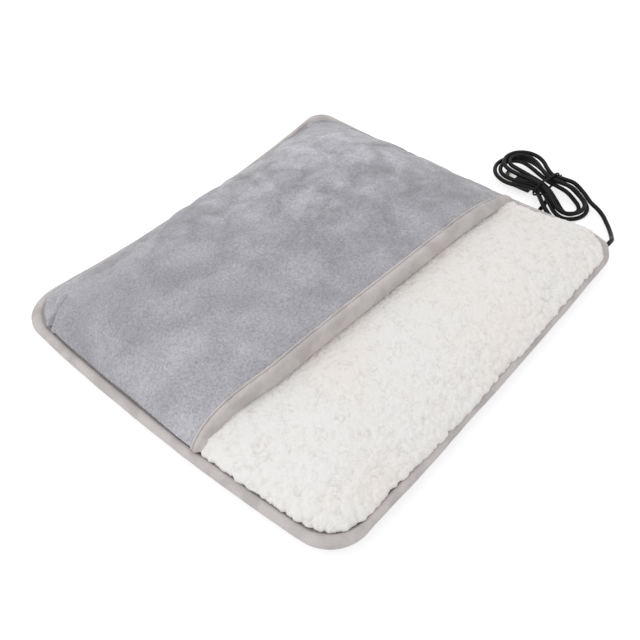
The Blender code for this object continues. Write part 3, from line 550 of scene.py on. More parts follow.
GREY_PLUSH = plush_finish("grey_plush_pile", linear(159, 158, 164), linear(172, 171, 177), 26.0, 0.4, 0.28,
                          scuffs=0.24)
TAUPE_TAPE = plush_finish("taupe_tape_pile", linear(186, 180, 179), linear(200, 194, 192), 60.0, 0.15, 0.06,
                          0.0003)

# %% [markdown]
# White fleece is never evenly white: light that falls between the curls is caught there, so the gaps lie in
# shade, and that shade is painted: the gaps are painted a little greyer than the tips, and thin lines of
# painted shade show where one curl folds on the next. The pile's height is kept on the mesh as an attribute,
# and the colour, with its painted shade, follows it. The lines are where a noise is at its middle.

# %% Fleece, wadding and felt
# The colour of the painted shade in the creases where one curl folds on the next.
FOLD_SHADE_TONE = linear(228, 221, 216)


def fleece_finish(name, painted_gap_shade, tip, warm):
    """Curly fleece: painted shade, greyer between its curls and in its fold lines, with the fold lines also
    bumped, and yarn.
    """
    look, tree, shader = new_finish(name, tip, 0.95)
    place = object_place(tree)
    curl = add_node(tree, "ShaderNodeAttribute")
    curl.attribute_name = "curl"
    slow = add_node(tree, "ShaderNodeTexNoise", {"Vector": place}, Scale=18.0, Detail=2.0)
    tips = mix_colours(tree, stretch(tree, slow.outputs["Fac"], 0.4, 0.68, 0.0, 1.0), tip, warm)
    # Painted shade: where the pile is low, between the curls, the colour goes to the greyer gap colour.
    tones = mix_colours(tree, stretch(tree, curl.outputs["Fac"], 0.0, 0.42, 0.0, 1.0), painted_gap_shade, tips)
    wander = add_node(tree, "ShaderNodeTexNoise", {"Vector": place}, Scale=130.0, Detail=2.5, Roughness=0.6,
                      Distortion=0.8)
    aside = worked_out(tree, "ABSOLUTE", worked_out(tree, "SUBTRACT", wander.outputs["Fac"], 0.5))
    folds = stretch(tree, aside, 0.0, 0.03, 0.0, 1.0, "SMOOTHSTEP")
    spread = add_node(tree, "ShaderNodeTexNoise", {"Vector": place}, Scale=120.0, Detail=2.0)
    missing = stretch(tree, spread.outputs["Fac"], 0.36, 0.56, 0.1, 1.0)
    kept = worked_out(tree, "MAXIMUM", folds, missing)
    yarn = add_node(tree, "ShaderNodeTexNoise", {"Vector": place}, Scale=620.0, Detail=3.0, Roughness=0.75)
    speck = stretch(tree, yarn.outputs["Fac"], 0.25, 0.75, 0.965, 1.025)
    # Painted shade: the fold lines take the darker fold colour.
    lined = mix_colours(tree, kept, FOLD_SHADE_TONE, tones)
    tree.links.new(scaled(tree, lined, speck), shader.inputs["Base Color"])
    height = worked_out(tree, "MULTIPLY_ADD", kept, 0.6, yarn.outputs["Fac"])
    relief = add_node(tree, "ShaderNodeBump", {"Height": height}, Strength=0.6, Distance=0.0005)
    tree.links.new(relief.outputs["Normal"], shader.inputs["Normal"])
    shader.inputs["Specular IOR Level"].default_value = 0.1
    shader.inputs["Sheen Weight"].default_value = 0.2
    return look


def matted_finish(name, dark, light, scale, roughness=0.95):
    """Fibres pressed or blown into a mat."""
    look, tree, shader = new_finish(name, light, roughness)
    fibres = add_node(tree, "ShaderNodeTexNoise", {"Vector": object_place(tree)}, Scale=scale, Detail=4.0,
                      Roughness=0.7, Distortion=1.5)
    share = stretch(tree, fibres.outputs["Fac"], 0.35, 0.65, 0.0, 1.0)
    tree.links.new(mix_colours(tree, share, dark, light), shader.inputs["Base Color"])
    relief = add_node(tree, "ShaderNodeBump", {"Height": fibres.outputs["Fac"]}, Strength=0.5,
                      Distance=0.0008)
    tree.links.new(relief.outputs["Normal"], shader.inputs["Normal"])
    return look


# The first colour is the painted shade between the curls.
FLEECE = fleece_finish("cream_fleece_curls", linear(219, 213, 208), linear(238, 237, 235),
                       linear(239, 234, 230))
WADDING = matted_finish("wadding_fibres", linear(226, 226, 224), linear(245, 245, 244), 260.0)
FELT = matted_finish("felt_fibres", linear(196, 193, 186), linear(221, 218, 211), 700.0)


# %% [markdown]
# The lead, its tie and the plug are moulded. Such a surface has one colour, and what shows is its gloss:
# small changes of roughness break the highlights, and metal gets fine lines along its drawing direction.

# %% Moulded and metal finishes
def moulded_finish(name, colour, roughness, grain=1500.0, metallic=0.0, drawn=(1, 1, 1), bump=0.08):
    """A moulded or drawn surface with a slightly uneven gloss."""
    look, tree, shader = new_finish(name, colour, roughness, metallic)
    turned = add_node(tree, "ShaderNodeMapping", {"Vector": object_place(tree)})
    turned.inputs["Scale"].default_value = drawn
    grains = add_node(tree, "ShaderNodeTexNoise", {"Vector": turned.outputs["Vector"]}, Scale=grain,
                      Detail=2.0)
    gloss = stretch(tree, grains.outputs["Fac"], 0.0, 1.0, max(0.05, roughness - 0.1), roughness + 0.12)
    tree.links.new(gloss, shader.inputs["Roughness"])
    relief = add_node(tree, "ShaderNodeBump", {"Height": grains.outputs["Fac"]}, Strength=bump,
                      Distance=0.0002)
    tree.links.new(relief.outputs["Normal"], shader.inputs["Normal"])
    return look


BLACK_PVC = moulded_finish("black_pvc_satin", linear(12, 12, 13), 0.42)
BLACK_PVC.node_tree.nodes["Principled BSDF"].inputs["Specular IOR Level"].default_value = 0.2
WIRE_JACKET = moulded_finish("red_silicone", linear(206, 62, 50), 0.5)
LEAD_JACKET = moulded_finish("lead_insulation", linear(224, 224, 221), 0.45)
CRIMP_METAL = moulded_finish("tinned_crimp", linear(214, 208, 198), 0.34, 900.0, 1.0)
BROWN_RESIN = moulded_finish("brown_resin_moulded", linear(96, 66, 44), 0.4)
BRIGHT_STEEL = moulded_finish("nickel_plated_steel", linear(224, 222, 214), 0.24, 1200.0, 1.0, (6, 0.3, 6),
                              0.12)
WHITE_NYLON = moulded_finish("white_nylon_moulded", linear(240, 240, 238), 0.5)
GOLD_PLATE = moulded_finish("gold_plated_contact", linear(238, 212, 148), 0.3, 1200.0, 1.0)
print("finishes:", len(bpy.data.materials))

# %% [markdown]
# ## The fleece that the feet rest on
# Sherpa fleece is a knit with curly tufts of white yarn, 2 to 3 mm across and clumped here and there.
# Tufts of real geometry for every curl would take millions of faces, and a bump alone leaves a straight
# outline. A dense grid that is raised into lumps gives the lumpy outline, and the shader adds the finest
# curls. The apron in front of the mouth gets narrow rows, and the hidden part inside the pocket wide ones.

# %% Curls of fleece
CURL_SIZE = 2.5 * MM
CLUMP_SIZE = 6 * MM
noise.seed_set(7)  # noise_vector's offset comes from this; unset, it changes with the clock


def curl_height(place, lumps):
    """How high the pile stands at a place, from 0 in the gaps to 1 on the tufts."""
    drift = noise.noise_vector(place * 150) * 0.0018
    clumps = noise.voronoi((place + drift) / CLUMP_SIZE, distance_metric="DISTANCE")[0]
    clump = max(0.0, 1 - (clumps[0] / 0.95) ** 2)
    spots = noise.voronoi((place - drift) / CURL_SIZE, distance_metric="DISTANCE")[0]
    tuft = max(0.0, 1 - (spots[0] / 0.9) ** 2)
    even = 0.14 + 0.25 * clump + 0.5 * tuft + 0.2 * noise.noise(place * 70)
    lumpy = 0.05 + 0.62 * clump + 0.28 * tuft + 0.2 * noise.noise(place * 45)
    return min(1.0, max(0.0, even + (lumpy - even) * lumps))


def raise_pile(piece, depth, lumps, count):
    """Moves the first vertices of a piece out along their normals by the pile's height."""
    places = corners_of(piece)
    facing = normals_of(piece)
    curls = np.array([curl_height(Vector(place), share) for place, share in zip(places[:count], lumps)])
    places[:count] += facing[:count] * (curls * depth)[:, None]
    move_corners(piece, places)
    height = piece.data.attributes.new("curl", "FLOAT", "POINT")
    shown = np.zeros(len(places), dtype=np.float32)
    shown[:count] = curls
    height.data.foreach_set("value", shown)
    return curls


# %% [markdown]
# ## Closing a panel
# A panel is seen on one side only. Giving the dense side a copy of itself as a lining would double its
# faces for nothing, so the hidden side is a second, wide-meshed grid, and the two rims are bridged.

# %% Bridge a fine side and a coarse side
def bridge_rims(fine, coarse, name):
    """Joins two laid grids into one closed panel."""
    flip_faces(coarse)
    count = len(fine.data.vertices)
    coarse.select_set(True)
    fine.select_set(True)
    bpy.context.view_layer.objects.active = fine
    bpy.ops.object.join()
    bpy.ops.object.mode_set(mode="EDIT")
    bpy.ops.mesh.select_mode(type="EDGE")
    bpy.ops.mesh.select_all(action="DESELECT")
    bpy.ops.mesh.select_non_manifold(extend=False, use_wire=False, use_boundary=True, use_multi_face=False,
                                     use_non_contiguous=False, use_verts=False)
    bpy.ops.mesh.bridge_edge_loops()
    let_go()
    fine.name = name
    fine.data.name = name
    return fine, count


def below(height, depth):
    """A panel's hidden side: the same curve, lower by the fabric."""
    return lambda inset: height(inset) - depth


FINE_COLUMNS = 460
FINE_ROWS = 205
APRON_SHARE = 0.78
BED_CROWD = 1.12
PILE_DEPTH = 1.7 * MM
EDGE_PILE_DEPTH = 3.6 * MM


def apron_rows(u, v):
    """Puts most rows of the bed's grid in front of the mouth."""
    share = (v + 1) / 2
    mouth = mouth_v(u, bed_top, BED_RIM, BED_CROWD) + 0.05
    front = -1 + (mouth + 1) * share / APRON_SHARE
    behind = mouth + (1 - mouth) * (share - APRON_SHARE) / (1 - APRON_SHARE)
    return np.where(share < APRON_SHARE, front, behind)


def step_up(value, start, length):
    """Eased step from 0 to 1 over a length."""
    share = np.clip((value - start) / length, 0, 1)
    return share * share * (3 - 2 * share)


bed = grid("foot_bed_fleece", FINE_COLUMNS, FINE_ROWS)
inset = lay_panel(bed, bed_top, BED_RIM, bend_rows=apron_rows, crowd=BED_CROWD)
places = corners_of(bed)
ahead = mouth_y(places[:, 0]) - places[:, 1]
apron = step_up(ahead, -3 * MM, 8 * MM)
foot_rise = places[:, 2] - BED_SEAM_Z
wobble = slow_noise(places, 24, 2.0) * 1.6 * MM
overhang = step_up(places[:, 0], -130 * MM, 80 * MM) * step_up(-places[:, 1], 95 * MM, 40 * MM)
near_lead_corner = np.exp(-(np.hypot(places[:, 0] - 180 * MM, places[:, 1] + 165 * MM) / (22 * MM)) ** 2)
roll = 6.6 * MM + 3.8 * MM * overhang - 2 * MM * near_lead_corner + wobble
places = roll_foot(places, inset, BED_SEAM_Z, roll * apron)
move_corners(bed, places)
room = np.clip((lining_under(inset) - bed_top(inset)) * 0.45, 0.3 * MM, 2.2 * MM) * (1 - flat_share(places))
by_seam = 1 - step_up(inset, 18 * MM, 38 * MM)
apron_depth = PILE_DEPTH + (EDGE_PILE_DEPTH - PILE_DEPTH) * by_seam
bed_depth = (room + (apron_depth - room) * apron) * step_up(foot_rise, 0.8 * MM, 2.6 * MM)
under = grid("bed_under", 48, 44)
lay_panel(under, below(bed_top, FABRIC), BED_RIM)
bed, bed_count = bridge_rims(bed, under, "foot_bed_fleece")
raise_pile(bed, bed_depth, by_seam * apron, bed_count)
smooth_all(bed)
print(bed.name, len(bed.data.polygons), "faces")
bed.data.materials.append(FLEECE)
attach(bed, "base")
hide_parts("foot_bed_lining")

# %% [markdown]
# Under the fleece lies the thick wadding that gives the mat its crown. It is a closed pad with a flat
# bottom, and it follows the fleece at the fabric's distance.

# %% Wadding of the bed
BED_WADDING_RIM = 18 * MM


def bed_wadding_top(inset):
    return bed_top(inset - LAYER_GAP) - LAYER_GAP


def bed_wadding_bottom(inset):
    return np.minimum(14.5 * MM, bed_wadding_top(inset) - 0.6 * MM)


bed_wadding = grid("bed_wadding", 84, 76)
lay_panel(bed_wadding, bed_wadding_top, BED_WADDING_RIM)
under = grid("bed_wadding_under", 48, 44)
lay_panel(under, bed_wadding_bottom, BED_WADDING_RIM)
bed_wadding, _count = bridge_rims(bed_wadding, under, "bed_wadding")
bed_wadding.data.materials.append(WADDING)
smooth_all(bed_wadding, 60)
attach(bed_wadding, "base")
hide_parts("bed_padding")
print(bed_wadding.name, len(bed_wadding.data.polygons), "faces")

# %% [markdown]
# ## The plush panels
# The pocket's cover is a soft grey plush over thin wadding. Sewn along three sides, it arches over the
# feet, so it can't turn as a stiff lid: its sides stay on the mat while its middle lifts. The cover is
# made as a left and a right half that meet at X = 0.

# %% Half panels
SIDES = {"left": -1, "right": 1}


def half_grid(name, side, columns, rows):
    """A grid for one half of a panel: its columns run from the middle to one side."""
    piece = grid(name, columns, rows)
    places = corners_of(piece)
    places[:, 0] = (places[:, 0] + side) / 2
    move_corners(piece, places)
    return piece


def follow_pocket(piece):
    """Puts the piece's place into its mesh."""
    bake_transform(piece)


# %% [markdown]
# A sewn cover is a little larger than the padding under it, and the spare cloth makes soft waves and
# puckers near the seam. Drawing these by hand looks drawn. Here a plain sheet of the cover's shape is given
# Blender's cloth: it grows by a few hundredths, it is held fast at the seam and loosely elsewhere, and the
# solver finds where it buckles. How far each place moved, within a cap, is then read off the sheet.

# %% Loosen the cover as cloth
CLOTH_COLUMNS, CLOTH_ROWS = 110, 84
COVER_CROWD = 1.3
CLOTH_GROWTH = 0.035
CLOTH_HOLD = 0.02
CLOTH_FRAMES = 20
MOST_MOVED = 2.2 * MM
MOST_SUNK = 0.25 * MM


def facings(table):
    """The direction each place of a table of rows and columns faces."""
    across = np.cross(np.gradient(table, axis=1), np.gradient(table, axis=0))
    return across / np.linalg.norm(across, axis=2)[:, :, None]


def cloth_moves():
    """How far the cover's cloth moves, for a table of rows and columns from the mouth to the back."""
    sheet = grid("cover_cloth", CLOTH_COLUMNS, CLOTH_ROWS)
    lay_panel(sheet, cover_top, COVER_RIM, from_mouth=True)
    start = corners_of(sheet)
    inset = inset_of(start[:, 0], start[:, 1])
    free = step_up(inset, COVER_RIM, 9 * MM) * step_up(start[:, 1] - mouth_y(start[:, 0]), 1 * MM, 9 * MM)
    sewn = sheet.vertex_groups.new(name="sewn")
    for number, share in enumerate(free):
        sewn.add([number], float(1 - (1 - CLOTH_HOLD) * share), "REPLACE")
    cloth = sheet.modifiers.new("cloth", "CLOTH")
    cloth.settings.quality = 6
    cloth.settings.mass = 0.15
    cloth.settings.tension_stiffness = 12
    cloth.settings.compression_stiffness = 12
    cloth.settings.bending_stiffness = 0.4
    cloth.settings.vertex_group_mass = "sewn"
    cloth.settings.shrink_min = -CLOTH_GROWTH
    cloth.settings.use_pressure = True
    cloth.settings.uniform_pressure_force = 1.5
    cloth.settings.effector_weights.gravity = 0
    for frame_number in range(1, CLOTH_FRAMES + 1):
        bpy.context.scene.frame_set(frame_number)
    apply_all(sheet)
    bpy.context.scene.frame_set(1)
    moved = corners_of(sheet) - start
    facing = facings(start.reshape(CLOTH_ROWS + 1, CLOTH_COLUMNS + 1, 3)).reshape(-1, 3)
    out = (moved * facing).sum(axis=1)
    print("cloth moved out:", np.round(np.percentile(out, (0, 10, 50, 90, 100)) / MM, 2), "mm")
    out = np.where(out > 0, MOST_MOVED * np.tanh(out / MOST_MOVED), MOST_SUNK * np.tanh(out / MOST_SUNK))
    hold(sheet)
    bpy.ops.object.delete()
    return out.reshape(CLOTH_ROWS + 1, CLOTH_COLUMNS + 1)


# %% [markdown]
# The cover's shape is worked out once for its whole width, as a table of places, and each half takes its
# columns from it. Near the left rear corner the plush has one sharp pleat where it is eased round the seam.

# %% Shape the cover
HALF_COLUMNS, COVER_ROWS = 150, 170
PLEAT_FOOT = np.array([-181.0, 131.5]) * MM
PLEAT_TOP = np.array([-154.0, 138.5]) * MM


def read_table(table, rows, columns):
    """Reads a table of places at more rows and columns than it has."""
    down = np.linspace(0, table.shape[0] - 1, rows)
    over = np.linspace(0, table.shape[1] - 1, columns)
    row = np.minimum(down.astype(int), table.shape[0] - 2)
    column = np.minimum(over.astype(int), table.shape[1] - 2)
    to_row, to_column = (down - row)[:, None, None], (over - column)[None, :, None]
    upper = table[row][:, column] * (1 - to_column) + table[row][:, column + 1] * to_column
    lower = table[row + 1][:, column] * (1 - to_column) + table[row + 1][:, column + 1] * to_column
    return upper * (1 - to_row) + lower * to_row


def pleat(table):
    """How deep the corner's pleat is at each place, and how far its two lips stand up."""
    line = PLEAT_TOP - PLEAT_FOOT
    offset = table[:, :, :2] - PLEAT_FOOT
    along = np.clip(offset @ line / (line @ line), 0, 1)
    away = np.linalg.norm(offset - along[:, :, None] * line, axis=2)
    fade = 1 - along ** 2.5
    lips = 1.6 * MM * np.exp(-((away - 4.2 * MM) / (2.4 * MM)) ** 2)
    return (lips - 4.6 * MM * np.exp(-(away / (1.5 * MM)) ** 2)) * fade


full = grid("cover_form", 2 * HALF_COLUMNS, COVER_ROWS)
inset = lay_panel(full, cover_top, COVER_RIM, from_mouth=True, crowd=COVER_CROWD)
places = corners_of(full)
seam_waves = slow_noise(places, 17, 4.0) * 2.0 * MM
rear = step_up(places[:, 1], 120 * MM, 35 * MM) * step_up(places[:, 0], -140 * MM, 60 * MM)
by_pleat = np.exp(-(np.hypot(places[:, 0] + 188 * MM, places[:, 1] - 148 * MM) / (26 * MM)) ** 2)
foot_roll = (5.4 * MM + seam_waves) * (1 - 0.7 * rear) * (1 - 0.6 * by_pleat)
places = roll_foot(places, inset, SEAM_Z, foot_roll)
form = places.reshape(COVER_ROWS + 1, 2 * HALF_COLUMNS + 1, 3)
form = form + facings(form) * read_table(cloth_moves()[:, :, None], *form.shape[:2])
form = form + facings(form) * pleat(form)[:, :, None]
hold(full)
bpy.ops.object.delete()
facing = facings(form)
print("cover form:", form.shape, "facing up in the middle:", round(float(facing[80, 150, 2]), 3))

# %% Left and right cover
def half_of(table, side):
    """One half's columns of a table that spans the whole width."""
    return table[:, :HALF_COLUMNS + 1] if side < 0 else table[:, HALF_COLUMNS:]


for word, side in SIDES.items():
    cover = grid("pocket_cover_" + word, HALF_COLUMNS, COVER_ROWS)
    move_corners(cover, half_of(form, side).reshape(-1, 3))
    add_wall(cover, FABRIC, -1)
    cover.data.materials.append(GREY_PLUSH)
    smooth_all(cover, 60)
    follow_pocket(cover)
    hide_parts("pocket_cover")
    print(cover.name, len(cover.data.polygons), "faces")

# %% [markdown]
# ## The pocket's wadding and its fleece
# A thin wadding lies under the cover, and fleece faces the feet. The fleece's pile fills the slit of the
# flat pocket together with the bed's pile, so each is given a little under half of the room there.

# %% Wadding and lining of the pocket
WADDING_RIM = 20.5 * MM


def wadding_top(inset):
    return np.maximum(cover_top(inset - LAYER_GAP) - LAYER_GAP, wadding_under(inset) + 0.6 * MM)


def wadding_under(inset):
    return lining_under(inset + LAYER_GAP) + LAYER_GAP


for word, side in SIDES.items():
    wadding = half_grid("pocket_wadding_" + word, side, 40, 40)
    lay_panel(wadding, wadding_top, WADDING_RIM, from_mouth=True)
    low_side = half_grid("wadding_low", side, 40, 40)
    lay_panel(low_side, wadding_under, WADDING_RIM, from_mouth=True)
    wadding, _count = bridge_rims(wadding, low_side, "pocket_wadding_" + word)
    wadding.data.materials.append(WADDING)
    smooth_all(wadding, 60)
    follow_pocket(wadding)
    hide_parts("pocket_padding")

    lining = half_grid("pocket_fleece_" + word, side, 110, 128)
    inset = lay_panel(lining, lining_under, LINING_RIM, from_mouth=True)
    flip_faces(lining)
    add_wall(lining, FABRIC, -1)
    count = len(inset)
    room = np.maximum(0.3 * MM, (lining_under(inset) - bed_top(inset)) * 0.42)
    room *= 1 - flat_share(corners_of(lining)[:count])
    raise_pile(lining, room * np.clip((inset - LINING_RIM) / (3 * MM), 0, 1), np.zeros(count), count)
    lining.data.materials.append(FLEECE)
    smooth_all(lining, 75)
    follow_pocket(lining)
    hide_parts("pocket_lining")
    print(wadding.name, lining.name, len(lining.data.polygons), "faces")

# %% [markdown]
# ## The tape over the pocket's front edge
# A tape is folded over the front edge of the pocket and sewn through near its rear edge, which leaves a
# narrow ridge on the plush. Its section is a short line of points, given by how far they lie forward of
# the edge and above the plush, and a grid is swept along the cover's own first row with it. The part that
# hangs down in front is as deep as the pocket is thick there.

# %% Sweep the mouth tape
TAPE_BACK = [(-4.5, -0.2), (-4.75, 0.7), (-4.3, 1.35), (-3.4, 1.5), (-2.7, 1.2), (-2.4, 0.2), (-2.1, 1.15),
             (-1.4, 1.75), (-0.5, 1.8)]
TAPE_FRONT = [(0.6, 1.4, 0), (1.6, 0.75, 0), (2.4, -0.4, 0), (3.0, -0.9, 0.12), (3.5, -0.9, 0.3),
              (3.9, -0.8, 0.5), (4.2, -0.6, 0.7), (4.2, -0.4, 0.88), (3.4, -0.2, 1.0), (2.0, -0.4, 1.03),
              (-0.6, -0.3, 1.0)]
TAPE_OVERLAP = 4.9 * MM
TAPE_END = 3.0 * MM


def bed_height(places):
    """The height of the bed's fleece, without its pile, under each place."""
    x, y = places[:, 0], places[:, 1]
    return flatten(np.stack([x, y, bed_top(inset_of(x, y))], axis=1))[:, 2]


def evened(directions, reach=12):
    """Directions along the mouth, each the mean of its neighbours, so the tape runs without puckers."""
    first, last = directions[:1].repeat(reach, axis=0), directions[-1:].repeat(reach, axis=0)
    padded = np.concatenate([first, directions, last])
    sums = np.cumsum(np.concatenate([np.zeros((1, 3)), padded]), axis=0)
    mean = sums[2 * reach + 1:] - sums[:-2 * reach - 1]
    return mean / np.linalg.norm(mean, axis=1)[:, None]


def tape_rows(table, facing):
    """The tape's places: one row for each point of its section, one column for each of the cover's."""
    edge = table[0]
    back = evened(table[3] - table[0])
    steps = np.linalg.norm(np.diff(table[:9], axis=0), axis=2)
    along = np.vstack([np.zeros(edge.shape[0]), np.cumsum(steps, axis=0)])
    steps = np.linalg.norm(np.diff(edge, axis=0), axis=1)
    run = np.concatenate([[0], np.cumsum(steps)])
    to_end = np.minimum(run, run[-1] - run)
    narrow = np.sqrt(1 - (1 - np.clip(to_end / TAPE_END, 0.02, 1)) ** 2)
    up = evened(facing[1])
    inset = inset_of(edge[:, 0], edge[:, 1])
    thick = (cover_top(inset) - lining_under(inset)) * np.clip(up[:, 2], 0.3, 1)
    room = (edge[:, 2] - bed_height(edge)) * np.clip(up[:, 2], 0.3, 1) + 0.6 * MM
    flatter_end = 1 - 0.32 * step_up(edge[:, 0], 95 * MM, 60 * MM)
    hanging = (np.clip(thick, 6.5 * MM, 8.5 * MM) + TAPE_OVERLAP) * narrow * flatter_end
    drop = np.minimum(hanging, room * narrow)
    rows = []
    for forward, lift in TAPE_BACK:
        reach_back = -forward * MM * narrow
        spot = np.stack([[np.interp(far, along[:, k], table[:9, k, axis]) for axis in range(3)]
                         for k, far in enumerate(reach_back)])
        rows.append(spot + up * (lift * MM * narrow)[:, None])
    for forward, lift, share in TAPE_FRONT:
        rows.append(edge - back * (forward * MM * narrow + (hanging - drop) * share)[:, None]
                    + up * (lift * MM * narrow - drop * share)[:, None])
    return np.stack(rows)


tape_table = tape_rows(form, facing)
for word, side in SIDES.items():
    tape = grid("mouth_tape_" + word, HALF_COLUMNS, len(tape_table) - 1)
    move_corners(tape, half_of(tape_table, side).reshape(-1, 3))
    flip_faces(tape)
    add_wall(tape, 0.8 * MM, -1)
    tape.data.materials.append(TAUPE_TAPE)
    smooth_all(tape, 75)
    follow_pocket(tape)
    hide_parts("mouth_binding")
    print(tape.name, len(tape.data.polygons), "faces")

# %% [markdown]
# ## The tape round the mat
# The edge tape is folded in two over the raw edges of all panels. A flat grid is rolled into a loop: one
# direction runs round the plan and the other through the tape's folded section. The ends are merged.

# %% Roll the edge tape
EDGE_SECTION = [
    (12.2, 10.3), (10.6, 9.5), (9, 9.1), (7, 8.9), (5, 8.9), (3.2, 9.2), (1.9, 10.0), (0.95, 11.2),
    (0.7, 12.45), (0.95, 13.7), (1.9, 14.9), (3.2, 15.6), (4.9, 15.95), (6.3, 15.7), (7.2, 15.0), (7.9, 14.0),
    (9.2, 13.3), (12.3, 13.0)]
LEAD_EXIT = (188.8 * MM, -161.9 * MM, 11.9 * MM)


def edge_angles(count):
    """Directions from the middle at equal steps along the plan's edge."""
    loop = np.vstack([OUTLINE, OUTLINE[:1]])
    steps = np.hypot(*np.diff(loop, axis=0).T)
    along = np.concatenate([[0], np.cumsum(steps)])
    share = np.linspace(0, along[-1], count)
    return np.arctan2(np.interp(share, along, loop[:, 1]), np.interp(share, along, loop[:, 0]))


EDGE_COLUMNS = 640
edge_tape = grid("edge_tape", EDGE_COLUMNS, len(EDGE_SECTION) - 1)
places = corners_of(edge_tape)
column = np.rint((places[:, 0] + 1) / 2 * EDGE_COLUMNS).astype(int)
row = np.rint((places[:, 1] + 1) / 2 * (len(EDGE_SECTION) - 1)).astype(int)
angle = edge_angles(EDGE_COLUMNS + 1)[column]
section = np.array(EDGE_SECTION)[row] * MM
inset, z = section[:, 0], section[:, 1]
x, y = reach(angle) * np.cos(angle), reach(angle) * np.sin(angle)
edge = np.stack([x, y, np.zeros_like(x)], axis=1)
ripple = slow_noise(edge, 22, 1.5) + 0.4 * slow_noise(edge, 80, 5.5)
inset = inset + ripple * 0.45 * MM
z = z + ripple * 0.3 * MM * np.clip(z / (12 * MM), 0, 1)
near_lead = np.exp(-(np.hypot(x - LEAD_EXIT[0], y - LEAD_EXIT[1]) / (5.5 * MM)) ** 2)
inset = inset - near_lead * 1.2 * MM * np.sin(np.clip((z - 8.9 * MM) / (7 * MM), 0, 1) * pi)
out = 1 - inset / HALF_DEPTH
move_corners(edge_tape, np.stack([x * out, y * out, z], axis=1))
hold(edge_tape)
bpy.ops.object.mode_set(mode="EDIT")
bpy.ops.mesh.select_all(action="SELECT")
bpy.ops.mesh.remove_doubles(threshold=0.00001)
bpy.ops.mesh.normals_make_consistent(inside=False)
let_go()
add_wall(edge_tape, 1.0 * MM, -1)
edge_tape.data.materials.append(TAUPE_TAPE)
smooth_all(edge_tape, 75)
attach(edge_tape, "base")
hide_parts("perimeter_binding")
print(edge_tape.name, len(edge_tape.data.polygons), "faces")

# %% [markdown]
# ## The panel underneath
# The underside is the same plush. It is a shallow bowl with a flat bottom that the mat rests on.

# %% Underside
base = grid("base_plush", 150, 140)
lay_panel(base, base_under, 3 * MM)
flip_faces(base)
add_wall(base, FABRIC, -1)
base.data.materials.append(GREY_PLUSH)
smooth_all(base, 75)
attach(base, "base")
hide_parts("base_cover")
print(base.name, len(base.data.polygons), "faces")

# %% [markdown]
# ## The lead and its hank
# The lead leaves the seam at the front right corner, comes down to the floor and is wound in a bow-tie
# hank: loops drawn in at the waist by a tie. The points below are the ones of the solid lead, and a
# smooth curve runs through them, so the drawn lead lies just where the solid one lies.

# %% Route of the lead
LEAD_DIAMETER = 4 * MM
FREE_ROUTE = [(x * MM, y * MM, z * MM) for x, y, z in (
    (188.8, -161.9, 11.9), (193.5, -162, 11.7), (198.5, -161.3, 10.2), (204.7, -158.8, 7.4),
    (213.1, -154.2, 4.8), (221.2, -148.5, 3.3), (229, -141.4, 2.9), (235.6, -133.4, 3.8))]
TAIL_ROUTE = [(x * MM, y * MM, z * MM) for x, y, z in (
    (200.9, -104.5, 2.9), (201.6, -110.5, 2.2), (200.9, -117.6, 2.15), (197.2, -122.8, 2.15),
    (191.2, -124.8, 2.15), (185.2, -122.4, 2.15), (181.9, -116.6, 2.15), (181.8, -109.6, 2.15),
    (184.2, -102.4, 2.15),
    (188.6, -95.8, 2.15), (195, -90.6, 2.15), (202.6, -88, 2.15), (211, -87.2, 2.2), (219.4, -86.4, 2.4),
    (226.2, -83.2, 3), (230.2, -77.6, 3.55))]
PLUG_REAR = Vector((231, -72.3, 3.55)) * MM
HANK_CENTRE = (235 * MM, -74.6 * MM)
HANK_TURN = radians(12)
WOUND_Z = 2.15 * MM
LEVEL_PITCH = 4.8 * MM
PLUG_LIFT = 7.1 * MM
CAP_STEPS, RUN_STEPS, LOOP_POINTS = 3, 6, 24


def eased(share):
    """Eased step from 0 to 1."""
    share = min(max(share, 0), 1)
    return share * share * (3 - 2 * share)


def loop_place(step, span, radius):
    """Along and across the hank at a step of a loop: front cap, far run, back cap, near run."""
    straight = span - radius
    cap = pi / 2 / CAP_STEPS
    far_end = CAP_STEPS + RUN_STEPS
    near_start = far_end + 2 * CAP_STEPS
    near_end = near_start + RUN_STEPS
    if step < CAP_STEPS or step > near_end:
        angle = cap * (step if step < CAP_STEPS else step - LOOP_POINTS)
        return -straight - radius * cos(angle), radius * sin(angle)
    if step <= far_end:
        return straight * (2 * (step - CAP_STEPS) / RUN_STEPS - 1), radius
    if step < near_start:
        angle = cap * (step - far_end)
        return straight + radius * sin(angle), radius * cos(angle)
    return straight * (1 - 2 * (step - near_start) / RUN_STEPS), -radius


def hank_place(along, across, height):
    """A place of the hank's own frame in the mat's."""
    x = HANK_CENTRE[0] + along * sin(HANK_TURN) + across * cos(HANK_TURN)
    y = HANK_CENTRE[1] + along * cos(HANK_TURN) - across * sin(HANK_TURN)
    return Vector((x, y, height))


def hank_point(step):
    """One point of the wound lead."""
    turns = step / LOOP_POINTS
    nest = abs(2 - turns) + 0.5 * eased((turns - 2) / 0.35)
    lobe = (9 + 6.4 * nest) * MM
    along, across = loop_place(step % LOOP_POINTS, (42.5 + 4.7 * nest) * MM, lobe)
    waist, spread = (2.4 + 5.0 * nest) * MM, (22 - 3.5 * nest) * MM
    across *= 1 + (waist / lobe - 1) * exp(-(along / spread) ** 2)
    level = 1 - eased((step - 39) / RUN_STEPS)
    across += 3.6 * MM * (2 * level - 1) * eased(along / (30 * MM)) - 3 * MM * eased(-along / (42 * MM))
    lift = PLUG_LIFT * eased((along + 40 * MM) / (25 * MM))
    return hank_place(along, across, WOUND_Z + LEVEL_PITCH * level + lift)


